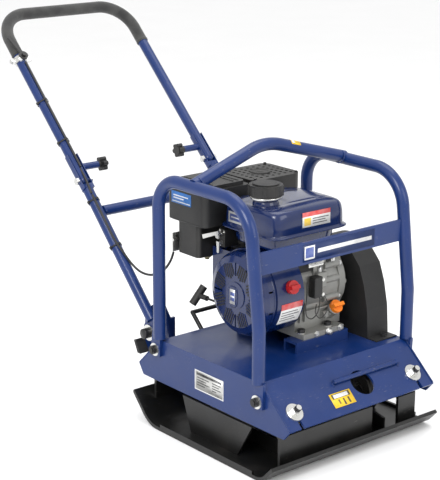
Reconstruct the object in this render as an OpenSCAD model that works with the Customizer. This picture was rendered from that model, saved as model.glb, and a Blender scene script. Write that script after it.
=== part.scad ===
// Walk-behind plate compactor: vibrating base plate, sprung engine deck, roll cage and folding handle.
// X points forward, Y to the operator's left, Z up. The origin is the centre of the flat sole.

/* [Base plate] */
// Width of the base plate
plate_w = 500; // [460:5:540]
// Length of the flat sole
sole_len = 340; // [320:5:360]
// Thickness of the base plate
plate_t = 8; // [6:1:10]
// Angle of the turned-up lips
lip_angle = 47; // [40:1:50]

/* [Deck] */
// Width of the engine deck over its side plates
deck_w = 434; // [430:1:440]
// Height of the deck's top face above the ground
deck_z = 200; // [196:1:206]
// Thickness of the deck's sheet
sheet_t = 5; // [3:1:6]
// Diameter of the tie-down hole in the front panel
hook_hole_d = 60; // [40:1:70]

/* [Cage] */
// Outer diameter of the cage tube
cage_d = 28.6; // [25:0.1:32]
// Height of the cage's top bars at their centre line
cage_top_z = 579; // [575:1:600]
// Height of the lifting arch at its centre line
arch_top_z = 637; // [632:1:660]

/* [Handle] */
// Outer diameter of the handle tube
handle_d = 25.4; // [22:0.1:27]
// Slope of the lower handle above the horizontal
handle_slope = 46.5; // [45:0.1:48]
// Slope of the upper handle above the horizontal
upper_slope = 44.1; // [43:0.1:46]
// Distance from the fold pivot to the top bar
top_t = 505; // [470:1:515]
// Outer diameter of the foam grip
grip_d = 29.5; // [28:0.5:34]

/* [Engine] */
// Height of the crankshaft above the ground
crank_z = 330; // [328:1:332]
// Diameter of the recoil starter cover
recoil_d = 190; // [180:1:194]
// Diameter of the fuel cap
cap_d = 74; // [60:1:80]

/* [Drive] */
// Pitch radius of the clutch pulley
clutch_r = 52; // [48:1:54]
// Pitch radius of the exciter pulley
exciter_r = 32.5; // [30:0.5:34]

/* [Hidden] */
$fn = 64;
navy = [0.13, 0.22, 0.5];
black = [0.1, 0.1, 0.1];
zinc = [0.78, 0.78, 0.76];
alu = [0.6, 0.6, 0.58];
gap = 0.3;

// base plate
plate_r = 4;
front_bend_r = 45;
front_lip = 30;
rear_bend_r = 68;
rear_lip = 60;
bead_w = 6;
bead_h = 9;
web_y = 205;
web_t = 6;

// deck outline in the XZ plane
crease_f = 144;
crease_r = -196;
skirt_z = 98;
panel_f = [237, 119];
panel_r = [-278, 122];
skirt_f = 219;
skirt_r = -262;
panel_slope_f = atan2(deck_z - panel_f[1], panel_f[0] - crease_f);
panel_slope_r = atan2(deck_z - panel_r[1], crease_r - panel_r[0]);
plate_y = deck_w / 2;
mount_y = 178;
mount_f = crease_f + 0.684 * (panel_f[0] - crease_f);
mount_r = crease_r + 0.684 * (panel_r[0] - crease_r);
mount_bore = 6.2;
hook_y = 33;
hook_along = 0.55;
bar_d = 10;
bracket_t = 7;
bracket_depth = 50;
mount_r_out = 24;

// exciter
exciter_x = 55;
exciter_z = 64;
exciter_shaft_r = 15;
bearing_r = 27;
cavity_r = 41;
exciter_pulley_y = 178;

// crank
crank_x = -34;
crank_r = 12.5;
clutch_y = 178;
belt_w = 13;
guard_bolt_x = [108, -126];

// engine
rail_h = 25;
foot_z = deck_z + rail_h;
foot_h = 12;
neck = [26, 90, 258];
tank_x = -20;
tank_y = -6;
cap_x = -15;
cap_y = -66;
cap_z = 549;
flange_z = 470;
recoil_y = -134;
shroud_r = 98;
bank = 25;

// cage
hoop_y = 221.4;
post_r_x = -193;
foot_f = [143, 160];
foot_r = [-207, 176.5];
foot_t = 8;
arch_foot_x = -68;
arch_top_x = -91;

// handle: pivots in the XZ plane; t runs up the slope from the fold pivot
pivot = [-268, 193];
fold = [-526, 502.8];
ankle_t = -384;
arm_y = 191;
foot_half = 4;
cheek_y = 178;
cheek_t = 6;
pivot_r = 8;
top_bend_r = 78;
cross_t = -88;
sleeve_lo = -26;
sleeve_hi = 72;
sleeve_r = 15;
knob_t = 37;
pin_r = 4;
fold_bolt_r = 5;
grip_lo = 378;
clamp_t = 364;
tube_wall = 2.5;
cable_r = 2.75;
cable_off = handle_d / 2 + cable_r + 0.4;

// ---------- helpers ----------

// Round bar from point a to point b
module rod(a, b, r) {
    d = b - a;
    len = norm(d);
    translate(a)
        rotate([0, acos(d[2] / len), atan2(d[1], d[0])])
            cylinder(h = len, r = r);
}

// Round bar along Y
module bar_y(x, z, y0, y1, r) {
    translate([x, y0, z]) rotate([-90, 0, 0]) cylinder(h = y1 - y0, r = r);
}

// Round bar along X
module bar_x(y, z, x0, x1, r) {
    translate([x0, y, z]) rotate([0, 90, 0]) cylinder(h = x1 - x0, r = r);
}

// Solid whose XZ outline is drawn with x to the right and z up, from y0 to y1
module slab(y0, y1) {
    translate([0, y1, 0]) rotate([90, 0, 0]) linear_extrude(height = y1 - y0) children();
}

// Rectangle with round corners, centred
module round_rect(w, h, r) {
    square([w - 2 * r, h], center = true);
    square([w, h - 2 * r], center = true);
    for (sx = [-1, 1], sy = [-1, 1])
        translate([sx * (w / 2 - r), sy * (h / 2 - r)]) circle(r = r);
}

// Box with round vertical edges, its base centre at the origin
module round_box(w, d, h, r) {
    linear_extrude(height = h) round_rect(w, d, r);
}

function unit(v) = v / norm(v);
function left(v) = [-v[1], v[0]];
function turn(a, b) = atan2(a[0] * b[1] - a[1] * b[0], a[0] * b[0] + a[1] * b[1]);
function bend_at(bend, i) = is_list(bend) ? bend[i - 1] : bend;

// Tangent length of the bend at point i of path p
function bend_len(p, i, bend) =
    i == 0 || i == len(p) - 1 ? 0
    : bend_at(bend, i) * tan(abs(turn(p[i] - p[i - 1], p[i + 1] - p[i])) / 2);

// Round bar bent along a flat path, lying in the XY plane. The bends differ from the straights
// by a hair, so that each pair laps cleanly: a positive hair laps the bend over the straight.
module bent_bar(p, bend, r, hair = 0.1) {
    lap_s = hair < 0 ? 1 : 0;
    lap_b = hair < 0 ? 0 : 1;
    for (i = [0 : len(p) - 2]) {
        d = unit(p[i + 1] - p[i]);
        a = p[i] + d * (bend_len(p, i, bend) - (i > 0 ? lap_s : 0));
        b = p[i + 1] - d * (bend_len(p, i + 1, bend) - (i < len(p) - 2 ? lap_s : 0));
        translate([a[0], a[1], 0])
            rotate([0, 90, atan2(d[1], d[0])]) cylinder(h = norm(b - a), r = r);
    }
    for (i = [1 : len(p) - 2]) {
        d = unit(p[i] - p[i - 1]);
        swing = turn(p[i] - p[i - 1], p[i + 1] - p[i]);
        n = left(d) * sign(swing);
        size = bend_at(bend, i);
        c = p[i] - d * bend_len(p, i, bend) + n * size;
        more = lap_b / size * 180 / PI;
        translate([c[0], c[1], 0])
            rotate([0, 0, atan2(-n[1], -n[0]) + min(swing, 0) - more])
                rotate_extrude(angle = abs(swing) + 2 * more)
                    translate([size, 0]) circle(r = r + hair);
    }
}

// Tube bent along a flat path
module bent_tube(p, bend, r, wall) {
    difference() {
        bent_bar(p, bend, r);
        bent_bar(p, bend, r - wall, -0.1);
    }
}

// Stands an XY drawing up in the XZ plane at the given y
module upright(y) {
    translate([0, y, 0]) rotate([90, 0, 0]) children();
}

// Places an XY drawing in the sloping plane of the lower or the upper handle
module on_handle(slope = handle_slope) {
    translate([fold[0], 0, fold[1]]) rotate([0, slope - 180, 0]) children();
}

module on_upper() { on_handle(upper_slope) children(); }

// Places a piece on the front or rear deck panel: z is the outward normal
module on_front(x, y) {
    translate([x, y, deck_z - (x - crease_f) * tan(panel_slope_f)])
        rotate([0, panel_slope_f, 0]) children();
}

module on_rear(x, y) {
    translate([x, y, deck_z - (crease_r - x) * tan(panel_slope_r)])
        rotate([0, -panel_slope_r, 0]) children();
}

module at_mounts() {
    for (s = [-1, 1]) {
        on_front(mount_f, s * mount_y) children();
        on_rear(mount_r, s * mount_y) children();
    }
}

// ---------- base ----------

module lip_band(bend_r, lip, x) {
    translate([x, bend_r]) {
        intersection() {
            difference() {
                circle(r = bend_r);
                circle(r = bend_r - plate_t);
            }
            polygon([[0, 0], [0, -2 * bend_r],
                     [2 * bend_r * tan(lip_angle), -2 * bend_r]]);
        }
        rotate(lip_angle) translate([0, -bend_r]) square([lip, plate_t]);
    }
}

// Everything below and outside the inner face of a turned-up lip
module under_lip(bend_r, x) {
    reach = bend_r + 40;
    translate([x, bend_r]) {
        intersection() {
            difference() {
                circle(r = reach);
                circle(r = bend_r - plate_t);
            }
            polygon([[0, 0], [0, -2 * reach], [2 * reach * tan(lip_angle), -2 * reach]]);
        }
        rotate(lip_angle) translate([0, -reach]) square([80, plate_t + 40]);
    }
}

module base_plate() {
    color(black) intersection() {
        slab(-plate_w / 2, plate_w / 2) {
            translate([-sole_len / 2, 0]) square([sole_len, plate_t]);
            lip_band(front_bend_r, front_lip, sole_len / 2);
            mirror([1, 0]) lip_band(rear_bend_r, rear_lip, sole_len / 2);
        }
        translate([-17.5, 0, -1]) round_box(487, plate_w, 120, plate_r);
    }
    color(black) for (s = [-1, 1])
        translate([-sole_len / 2 + 12, s * (plate_w / 2 - bead_w / 2) - bead_w / 2, plate_t - 1])
            cube([sole_len - 24, bead_w, bead_h]);
}

module base_ribs() {
    color(black) for (s = [-1, 1])
        slab(s * web_y - (s > 0 ? 0 : web_t), s * web_y + (s > 0 ? web_t : 0))
            polygon([[-95, plate_t], [65, plate_t], [112, 88], [-124, 88]]);
    color(black) for (s = [-1, 1])
        slab(s * 138 - web_t / 2, s * 138 + web_t / 2)
            polygon([[-150, plate_t], [165, plate_t], [165, 34], [120, 42], [-120, 42], [-150, 34]]);
}

// Bent bracket profile: an upright leg and a leg parallel to the deck's slanted panel
module bracket_outline(mx, mz, slope) {
    n = [sin(slope), cos(slope)];
    d = [cos(slope), -sin(slope)];
    m = [mx, mz] - n * bracket_depth;
    heel = m + d * 27;
    polygon([m - d * 30, heel, [heel[0], plate_t], [heel[0] - bracket_t, plate_t],
             [heel[0] - bracket_t, heel[1] - 4], m - d * 30 - n * bracket_t]);
}

module isolator_brackets() {
    zf = deck_z - (mount_f - crease_f) * tan(panel_slope_f);
    zr = deck_z - (crease_r - mount_r) * tan(panel_slope_r);
    color(black) for (span = [[-204.7, 68], [150, 204.7]]) difference() {
        slab(span[0], span[1]) difference() {
            bracket_outline(mount_f, zf, panel_slope_f);
            under_lip(front_bend_r, sole_len / 2);
        }
        at_mounts() translate([0, 0, -bracket_depth - 12]) cylinder(h = 20, r = mount_bore);
    }
    color(black) for (span = [[-204.7, -150], [150, 204.7]]) difference() {
        slab(span[0], span[1]) mirror([1, 0]) difference() {
            bracket_outline(-mount_r, zr, panel_slope_r);
            under_lip(rear_bend_r, sole_len / 2);
        }
        at_mounts() translate([0, 0, -bracket_depth - 12]) cylinder(h = 20, r = mount_bore);
    }
}

module exciter_housing() {
    color([0.2, 0.2, 0.2]) difference() {
        union() {
            bar_y(exciter_x, exciter_z, -100, 118, 50);
            translate([exciter_x - 62, -100, plate_t]) cube([124, 218, 26]);
        }
        bar_y(exciter_x, exciter_z, -88, 106, cavity_r);
        bar_y(exciter_x, exciter_z, -101, 119, bearing_r);
    }
}

module exciter_covers() {
    color([0.25, 0.25, 0.25]) bar_y(exciter_x, exciter_z, -108, -100, 44);
    color([0.25, 0.25, 0.25]) difference() {
        bar_y(exciter_x, exciter_z, 118, 126, 44);
        bar_y(exciter_x, exciter_z, 117, 127, exciter_shaft_r + 0.08);
    }
    color(zinc) for (y = [-111.5, 126], a = [30 : 60 : 330])
        bar_y(exciter_x + 38 * cos(a), exciter_z + 38 * sin(a), y, y + 3.5, 4);
}

module exciter_bearings() {
    color(zinc) for (y = [-100, 104]) difference() {
        bar_y(exciter_x, exciter_z, y, y + 14, bearing_r);
        bar_y(exciter_x, exciter_z, y - 1, y + 15, exciter_shaft_r + 0.03);
    }
}

module eccentric_shaft() {
    color(alu) {
        bar_y(exciter_x, exciter_z, -99, 200, exciter_shaft_r);
        intersection() {
            bar_y(exciter_x, exciter_z, -70, 90, cavity_r - 4);
            translate([exciter_x - 50, -70, exciter_z - 50]) cube([100, 160, 50]);
        }
    }
}

// V-belt pulley turned about Y, centred on the belt's middle
module pulley(x, z, y, pitch_r, half_w, bore_r) {
    rim = pitch_r + 5;
    root = pitch_r - 8;
    color([0.35, 0.35, 0.36]) translate([x, y, z]) rotate([-90, 0, 0]) rotate_extrude()
        polygon([[bore_r, -half_w], [rim, -half_w], [rim, -9.5], [root, -5],
                 [root, 5], [rim, 9.5], [rim, half_w], [bore_r, half_w]]);
}

module exciter_pulley() {
    pulley(exciter_x, exciter_z, exciter_pulley_y, exciter_r, 15, exciter_shaft_r);
}

// ---------- deck ----------

module rubber_mounts() {
    color(black) at_mounts()
        translate([0, 0, gap - bracket_depth])
            cylinder(h = bracket_depth - sheet_t - 2 * gap, r = mount_r_out);
}

module isolator_bolts() {
    color(zinc) at_mounts() {
        cylinder(h = 3, r = 20);
        translate([0, 0, 3]) cylinder(h = 2, r = 13);
        translate([0, 0, 5]) cylinder(h = 10, r = 11, $fn = 6);
        translate([0, 0, 15]) cylinder(h = 8, r = 6);
    }
}

module deck_outline() {
    polygon([panel_r, [skirt_r, skirt_z], [skirt_f, skirt_z], panel_f,
             [crease_f, deck_z], [crease_r, deck_z]]);
}

// The folded sheet's section: a band of sheet_t under the two panels and the top
module fold_band() {
    tf = sheet_t * tan(panel_slope_f / 2);
    tr = sheet_t * tan(panel_slope_r / 2);
    nf = [sin(panel_slope_f), cos(panel_slope_f)] * sheet_t;
    nr = [-sin(panel_slope_r), cos(panel_slope_r)] * sheet_t;
    polygon([panel_r, [crease_r, deck_z], [crease_f, deck_z], panel_f, panel_f - nf,
             [crease_f - tf, deck_z - sheet_t], [crease_r + tr, deck_z - sheet_t], panel_r - nr]);
}

module deck() {
    hook_x = crease_f + hook_along * (panel_f[0] - crease_f);
    color(navy) difference() {
        union() {
            slab(-plate_y, plate_y) fold_band();
            for (s = [-1, 1])
                slab(s * plate_y - (s > 0 ? sheet_t : 0), s * plate_y + (s > 0 ? 0 : sheet_t))
                    deck_outline();
        }
        on_front(hook_x, hook_y) translate([0, 0, -20]) cylinder(h = 40, d = hook_hole_d);
        at_mounts() translate([0, 0, -20]) cylinder(h = 40, r = mount_bore);
        for (s = [-1, 1]) on_front(panel_f[0], s * mount_y)
            translate([-18, -4.5, -20]) cube([40, 9, 40]);
        translate([-46, 158, deck_z - 20]) cube([136, 42, 40]);
        for (f = [foot_r, foot_f]) bar_y(f[0], f[1], -plate_y - 1, plate_y + 1, mount_bore);
    }
}

module handle_brackets() {
    color(navy) for (s = [-1, 1]) difference() {
        union() {
            slab(s > 0 ? cheek_y - cheek_t : -cheek_y, s > 0 ? cheek_y : -cheek_y + cheek_t)
                polygon([[-282, 122], [-306, 160], [-306, 233], [-274, 256], [-246, 256],
                         [-228, 232], [-214, 187]]);
            slab(s > 0 ? 94 : -cheek_y, s > 0 ? cheek_y : -94)
                polygon([[-306, 160], [-306, 233], [-300, 233], [-300, 150]]);
        }
        for (z = [200 : 4 : 232])
            translate([-310, s > 0 ? 80 : -94 - (z - 170) * 0.45, z])
                cube([14, 14 + (z - 170) * 0.45, 8]);
        bar_y(pivot[0], pivot[1], -cheek_y - 1, cheek_y + 1, pivot_r);
        at_mounts() translate([0, 0, -5]) cylinder(h = 30, r = 20.5);
    }
}

module tie_down_bar() {
    bx = crease_f + 0.40 * (panel_f[0] - crease_f);
    color(navy) on_front(bx, 0) {
        translate([0, -44, bar_d / 2]) rotate([-90, 0, 0]) cylinder(h = 196, d = bar_d);
    }
}

module handle_bumpers() {
    color([0.2, 0.16, 0.14]) for (s = [-1, 1])
        slab(s > 0 ? 170 : -204, s > 0 ? 204 : -170)
            polygon([[-306.3, 168], [-316, 164], [-302, 136], [-291.3, 136], [-306.3, 159.8]]);
}

module data_plate() {
    color([0.85, 0.85, 0.85]) translate([-72, -plate_y - 0.8, 122]) cube([98, 0.8, 46]);
}

module engine_rails() {
    color(navy) for (x = [-137, 24]) difference() {
        translate([x, -42, deck_z]) cube([42, 156, rail_h]);
        translate([x + 5, -43, deck_z - 1]) cube([32, 158, rail_h - 4]);
        for (y = [-10, 70])
            translate([x + 21, y, deck_z]) cylinder(h = 40, r = 5.2);
    }
}

// ---------- engine ----------

module crankcase() {
    color(alu) difference() {
        union() {
            bar_y(crank_x, crank_z, -18, 104, 76);
            translate([-134, -18, foot_z]) cube([196, 122, foot_h]);
            translate([neck[0], neck[1], neck[2]]) rotate([0, 50, 0]) cylinder(h = 28, r = 14);
            translate([-104, -18, foot_z + 10]) cube([136, 122, 130]);
            translate([-20, 30, 350]) cube([58, 60, 62]);
            for (z = [262, 300, 342, 376]) bar_y(36, z, 60, 104, 9);
        }
        bar_y(crank_x, crank_z, -4, 92, 56);
        bar_y(crank_x, crank_z, -20, 106, 22);
        translate([crank_x, 44, crank_z]) rotate([0, -90 + bank, 0]) cylinder(h = 150, r = 36);
        for (x = [-116, 45], y = [-10, 70])
            translate([x, y, foot_z - 1]) cylinder(h = 60, r = 5.2);
        translate([neck[0], neck[1], neck[2]]) rotate([0, 50, 0]) cylinder(h = 60, r = 9.3);
    }
}

module crankcase_cover() {
    color(alu) difference() {
        union() {
            bar_y(crank_x, crank_z, 104, 122, 80);
            translate([-100, 104, foot_z + 8]) cube([132, 16, 60]);
            for (a = [0 : 45 : 315])
                bar_y(crank_x + 72 * cos(a), crank_z + 72 * sin(a), 110, 126, 7);
        }
        bar_y(crank_x, crank_z, 100, 130, 22);
    }
}

module cylinder_axis() {
    translate([crank_x, 44, crank_z]) rotate([0, -90 + bank, 0]) children();
}

module fins_and_barrel() {
    cylinder_axis() {
        translate([0, 0, 60]) cylinder(h = 100, r = 35.7);
        for (h = [84 : 9 : 147]) translate([0, 0, h]) round_box(112, 108, 3, 10);
        translate([0, 0, 152]) round_box(108, 104, 36, 8);
    }
}

module cylinder_head() {
    color(alu) difference() {
        fins_and_barrel();
        cylinder_axis() translate([0, 0, 55]) cylinder(h = 95, r = 30);
        cylinder_axis() translate([0, -60, 172]) rotate([-90, 0, 0]) cylinder(h = 40, r = 7);
    }
}

module rocker_cover() {
    color(black) cylinder_axis() {
        translate([0, 0, 188]) round_box(104, 98, 4, 12);
        translate([0, 0, 192]) round_box(96, 90, 24, 16);
    }
}

module spark_plug() {
    color([0.9, 0.9, 0.88]) cylinder_axis() translate([0, -78, 172]) rotate([-90, 0, 0]) {
        cylinder(h = 24, r = 6);
        translate([0, 0, 16]) cylinder(h = 10, r = 10, $fn = 6);
    }
}

// Blower housing: a drum round the flywheel with a duct back over the cylinder
module shroud_outline(inset) {
    translate([crank_x, crank_z]) circle(r = shroud_r - inset);
    translate([-156 + inset, 322 + inset]) square([124, 86 - 2 * inset]);
}

module fan_shroud() {
    color(navy) difference() {
        slab(-98, -20) shroud_outline(0);
        slab(-95, -19) shroud_outline(3);
        bar_y(crank_x, crank_z, -99, -90, 84);
    }
}

module recoil_cover() {
    r = recoil_d / 2;
    color(navy) difference() {
        union() {
            translate([crank_x, -98, crank_z]) rotate([90, 0, 0]) rotate_extrude()
                polygon([[0, 36], [r - 22, 36], [r - 8, 30], [r - 1, 18], [r, 0], [r - 3, 0],
                         [r - 4, 17], [r - 10, 27.5], [r - 23, 33], [0, 33]]);
            bar_y(crank_x, crank_z, recoil_y - 2, recoil_y + 1, 30);
        }
        for (a = [0 : 30 : 330])
            translate([crank_x, recoil_y - 4, crank_z]) rotate([0, a, 0])
                translate([44, 0, -2]) cube([30, 20, 4]);
        for (a = [15 : 30 : 345])
            translate([crank_x, -112, crank_z]) rotate([0, a, 0])
                translate([80, -5, -2]) cube([20, 11, 4]);
        rod(starter_hub, starter_grip, 3.2);
    }
}

module fuel_tank() {
    color(navy) difference() {
        union() {
            translate([tank_x, tank_y, 438]) round_box(150, 186, 34, 30);
            translate([tank_x, tank_y, flange_z]) round_box(192, 228, 4, 26);
            translate([tank_x, tank_y, flange_z + 4]) round_box(182, 218, 52, 26);
            translate([tank_x, tank_y, flange_z + 56]) round_box(166, 202, 8, 26);
            translate([cap_x, cap_y, flange_z + 60]) cylinder(h = cap_z - flange_z - 60.3, r = 29);
            for (x = [-60, 10]) translate([x, 36, 412]) cube([18, 40, 29]);
        }
        translate([tank_x, tank_y, 441]) round_box(144, 180, 32, 27);
        translate([tank_x, tank_y, flange_z + 2]) round_box(176, 212, 51, 23);
        translate([cap_x, cap_y, flange_z + 40]) cylinder(h = 60, r = 24.5);
    }
}

module fuel_cap() {
    color(black) translate([cap_x, cap_y, cap_z]) {
        cylinder(h = 24, d = cap_d);
        for (a = [0 : 45 : 315]) rotate(a) translate([cap_d / 2 - 4, 0, 0]) cylinder(h = 22, r = 6);
        translate([0, 0, 24]) cylinder(h = 3, d = cap_d - 16);
        translate([0, 0, -12]) cylinder(h = 12.5, r = 24);
    }
}

module muffler() {
    color([0.25, 0.24, 0.23]) difference() {
        union() {
            translate([-182, 64, 486]) round_box(114, 130, 52, 20);
            translate([-215, 120, 500]) rotate([-90, 0, 0]) cylinder(h = 20, r = 12);
            translate([-168, 40, 460]) cylinder(h = 28, r = 15);
        }
        translate([-215, 110, 500]) rotate([-90, 0, 0]) cylinder(h = 40, r = 9);
        translate([-182, 64, 489]) round_box(108, 124, 46, 17);
    }
}

module muffler_guard() {
    color(black) difference() {
        translate([-182, 64, 474]) round_box(128, 144, 76, 22);
        translate([-182, 64, 473]) round_box(124, 140, 75, 20);
        for (x = [-45 : 15 : 45], y = [-54 : 18 : 54])
            translate([-182 + x, 64 + y, 540]) cylinder(h = 20, r = 4);
        translate([-215, 120, 500]) rotate([-90, 0, 0]) cylinder(h = 30, r = 14);
    }
}

module air_cleaner_base() {
    color(black) difference() {
        union() {
            translate([-198, -86, 384]) round_box(76, 100, 80, 10);
            translate([-161, -72, 424]) cube([46.7, 30, 36]);
        }
        translate([-198, -86, 389]) round_box(68, 92, 76, 7);
    }
}

module air_cleaner_cover() {
    color(black) {
        translate([-188, -84, 464]) round_box(136, 132, 82, 14);
        translate([-188, -84, 546]) round_box(118, 116, 8, 12);
    }
}

module carburetor() {
    color([0.3, 0.3, 0.3]) {
        translate([-114, -73, 430]) cube([17.7, 39, 30]);
        translate([-100, -51, 413.5]) cylinder(h = 17, r = 14);
        translate([-97, -50, 420]) cube([20, 39.8, 16]);
        translate([-117, -112, 420]) cube([20.5, 39.7, 40]);
    }
}

module throttle_bracket() {
    color(zinc) {
        translate([-243, -146, 384.3]) cube([3, 40, 44]);
        translate([-243, -109, 384.3]) cube([6.7, 3, 44]);
        bar_y(-239, 412, -146, -110, 3);
    }
}

module sensor_box() {
    color(black) translate([53, 24, 316]) round_box(22, 24, 46, 4);
}

// ---------- drive ----------

// Outline of the belt guard: round over the clutch, sloping down to the deck in front
module guard_outline(inset) {
    r = 84 - inset;
    translate([crank_x, crank_z]) circle(r = r);
    polygon([[crank_x - r, deck_z], [crank_x - r, crank_z], [crank_x, crank_z + 10],
             [-2 - inset, 408 - inset], [20 - inset, 401 - inset], [39 - inset, 389 - inset],
             [63 - inset, 364 - inset], [79 - inset, 322], [91 - inset, 268], [96 - inset, deck_z]]);
}

module belt_guard() {
    color(black) difference() {
        union() {
            slab(148, 213) guard_outline(0);
            translate([90, 148, deck_z]) cube([34, 65, 3]);
            translate([-138, 148, deck_z]) cube([24, 65, 3]);
        }
        slab(151, 210) guard_outline(3);
        translate([-115, 151, deck_z - 1]) cube([208, 59, 10]);
        bar_y(crank_x, crank_z, 140, 160, 26);
        for (x = guard_bolt_x) translate([x, 186, deck_z - 1]) cylinder(h = 9, r = 4.2);
    }
}

// Belt: the outer tangent line round both pulleys
module belt_outline(grow) {
    a = [crank_x, crank_z];
    b = [exciter_x, exciter_z];
    d = b - a;
    ra = clutch_r + grow;
    rb = exciter_r + grow;
    tilt = atan2(d[1], d[0]);
    wrap = acos((ra - rb) / norm(d));
    ends = [for (e = [[a, ra, wrap], [b, rb, wrap], [b, rb, -wrap], [a, ra, -wrap]])
            e[0] + (e[1] - 0.05) * [cos(tilt + e[2]), sin(tilt + e[2])]];
    translate(a) circle(r = ra);
    translate(b) circle(r = rb);
    polygon(ends);
}

module drive_belt() {
    color(black) difference() {
        slab(clutch_y - belt_w / 2, clutch_y + belt_w / 2) belt_outline(3);
        slab(clutch_y - belt_w, clutch_y + belt_w) belt_outline(-2);
    }
}

module crankshaft() {
    color(alu) {
        bar_y(crank_x, crank_z, -96, 198, crank_r);
        bar_y(crank_x, crank_z, 8, 36, 46);
        bar_y(crank_x, crank_z, 52, 80, 46);
        bar_y(crank_x, crank_z, 106, 120, 21.9);
        bar_y(crank_x, crank_z, -16, -5, 21.9);
    }
}

module flywheel() {
    color([0.3, 0.3, 0.3]) {
        difference() {
            bar_y(crank_x, crank_z, -72, -44, 78);
            bar_y(crank_x, crank_z, -58, -43, 60);
            bar_y(crank_x, crank_z, -73, -43, crank_r);
        }
        for (a = [0 : 30 : 330]) translate([crank_x, -88, crank_z]) rotate([0, a, 0])
            translate([44, 0, -1.5]) cube([30, 16.5, 3]);
    }
}

module clutch_pulley() {
    pulley(crank_x, crank_z, clutch_y, clutch_r, 15, crank_r);
    color([0.45, 0.45, 0.46]) difference() {
        bar_y(crank_x, crank_z, 193, 204, 40);
        bar_y(crank_x, crank_z, 192, 198, crank_r);
    }
}

// ---------- starter and controls ----------

starter_hub = [-90, -112, 286.6];
starter_exit = [-158, -112, 286];
starter_grip = [-191, -112, 285.7];
grip_half = [5, 13, 20];

module starter_rope() {
    color([0.15, 0.15, 0.15]) rod(starter_hub, starter_exit, 2.5);
}

module starter_handle() {
    color(black) {
        rod(starter_exit, starter_grip, 6);
        rod(starter_grip - grip_half, starter_grip + grip_half, 9);
    }
}

module engine_switch() {
    color([0.75, 0.12, 0.12]) translate([crank_x, -57, crank_z]) rotate([0, 90 - 15.5, 0]) {
        translate([0, 0, shroud_r + gap]) cylinder(h = 10, r = 15);
        translate([-4, -12, shroud_r + 10]) cube([8, 24, 8]);
    }
}

module choke_lever() {
    color(zinc) {
        bar_y(-106, 450, -126, -112.4, 4);
        slab(-129, -126) polygon([[-100, 460], [-99, 442], [-107, 442], [-111, 448], [-153, 431],
                                  [-156, 440], [-111, 456]]);
    }
}

module fuel_valve_lever() {
    color([0.5, 0.5, 0.5]) {
        bar_y(-106, 430, -122, -112.4, 4);
        slab(-125, -122) polygon([[-111, 434], [-101, 434], [-103, 408], [-109, 408]]);
    }
}

module oil_dipstick() {
    color([0.95, 0.55, 0.1]) translate(neck) rotate([0, 50, 0]) {
        translate([0, 0, 28 + gap]) cylinder(h = 8, r = 15);
        translate([-4, -15, 30]) cube([8, 30, 16]);
        cylinder(h = 30, r = 9);
    }
}

// ---------- cage ----------

module cage_hoop(s) {
    y = s * hoop_y;
    foot_y = s > 0 ? plate_y : -plate_y - foot_t;
    color(navy) upright(y)
        bent_tube([[post_r_x, foot_r[1] + 30], [post_r_x, cage_top_z], [111, cage_top_z],
                   [144, 316], [144, foot_f[1] + 41]], [70, 87, 87], cage_d / 2, 2.3);
    color(navy) for (f = [foot_r, foot_f]) difference() {
        slab(foot_y, foot_y + foot_t)
            polygon([[f[0] - 17, f[1] - 14], [f[0] + 17, f[1] - 14], [f[0] + 20, f[1] + 44],
                     [f[0] - 8, f[1] + 44]]);
        bar_y(f[0], f[1], foot_y - 1, foot_y + foot_t + 1, 6.2);
    }
}

module cage_hoop_right() { cage_hoop(-1); }
module cage_hoop_left() { cage_hoop(1); }

module lifting_arch() {
    rise = [arch_top_x - arch_foot_x, arch_top_z - cage_top_z];
    color(navy) difference() {
        translate([arch_foot_x, 0, cage_top_z]) rotate([0, atan2(rise[0], rise[1]), 0])
            rotate([90, 0, 90])
                bent_tube([[-hoop_y, 4], [0, norm(rise) * 1.12], [hoop_y, 4]], 150, cage_d / 2, 2.3);
        for (s = [-1, 1]) bar_x(s * hoop_y, cage_top_z, arch_foot_x - 60, arch_foot_x + 60, cage_d / 2);
    }
}

module cross_plate() {
    color(navy) translate([124, -206.8, 428]) cube([5, 413.6, 49]);
}

module frame_bolts() {
    color(black) for (s = [-1, 1]) {
        for (f = [foot_r, foot_f]) {
            bar_y(f[0], f[1], s > 0 ? 205 : -237, s > 0 ? 237 : -205, 6);
            y = s > 0 ? plate_y + foot_t + 2 : -plate_y - foot_t - 10;
            bar_y(f[0], f[1], y, y + 8, 10);
        }
        bar_y(pivot[0], pivot[1], s > 0 ? 166 : -206, s > 0 ? 206 : -166, pivot_r);
        bar_y(pivot[0], pivot[1], s > 0 ? 198 : -210, s > 0 ? 210 : -198, 12);
    }
    color(zinc) for (x = [-116, 45], y = [-10, 70]) {
        translate([x, y, foot_z - 18]) cylinder(h = 40, r = 5);
        translate([x, y, foot_z + foot_h + 2]) cylinder(h = 7, r = 9, $fn = 6);
    }
    color(zinc) for (x = guard_bolt_x)
        translate([x, 186, deck_z]) {
            cylinder(h = 4, r = 4);
            translate([0, 0, 3]) cylinder(h = 6, r = 7.5, $fn = 6);
        }
}

module washer_y(x, z, y, t, r, hole) {
    difference() {
        bar_y(x, z, y, y + t, r);
        bar_y(x, z, y - 1, y + t + 1, hole);
    }
}

module frame_washers() {
    color(zinc) for (s = [-1, 1]) {
        for (f = [foot_r, foot_f])
            washer_y(f[0], f[1], s > 0 ? plate_y + foot_t : -plate_y - foot_t - 2, 2, 15, 6.2);
        washer_y(pivot[0], pivot[1], s > 0 ? 195.3 : -197.8, 2.5, 19, 8.2);
        washer_y(pivot[0], pivot[1], s > 0 ? cheek_y : -186.7, 186.7 - cheek_y, 13, 8.2);
    }
    color(zinc) for (x = [-116, 45], y = [-10, 70])
        translate([x, y, foot_z + foot_h]) difference() {
            cylinder(h = 2, r = 11);
            translate([0, 0, -1]) cylinder(h = 4, r = 5.2);
        }
}

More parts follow.
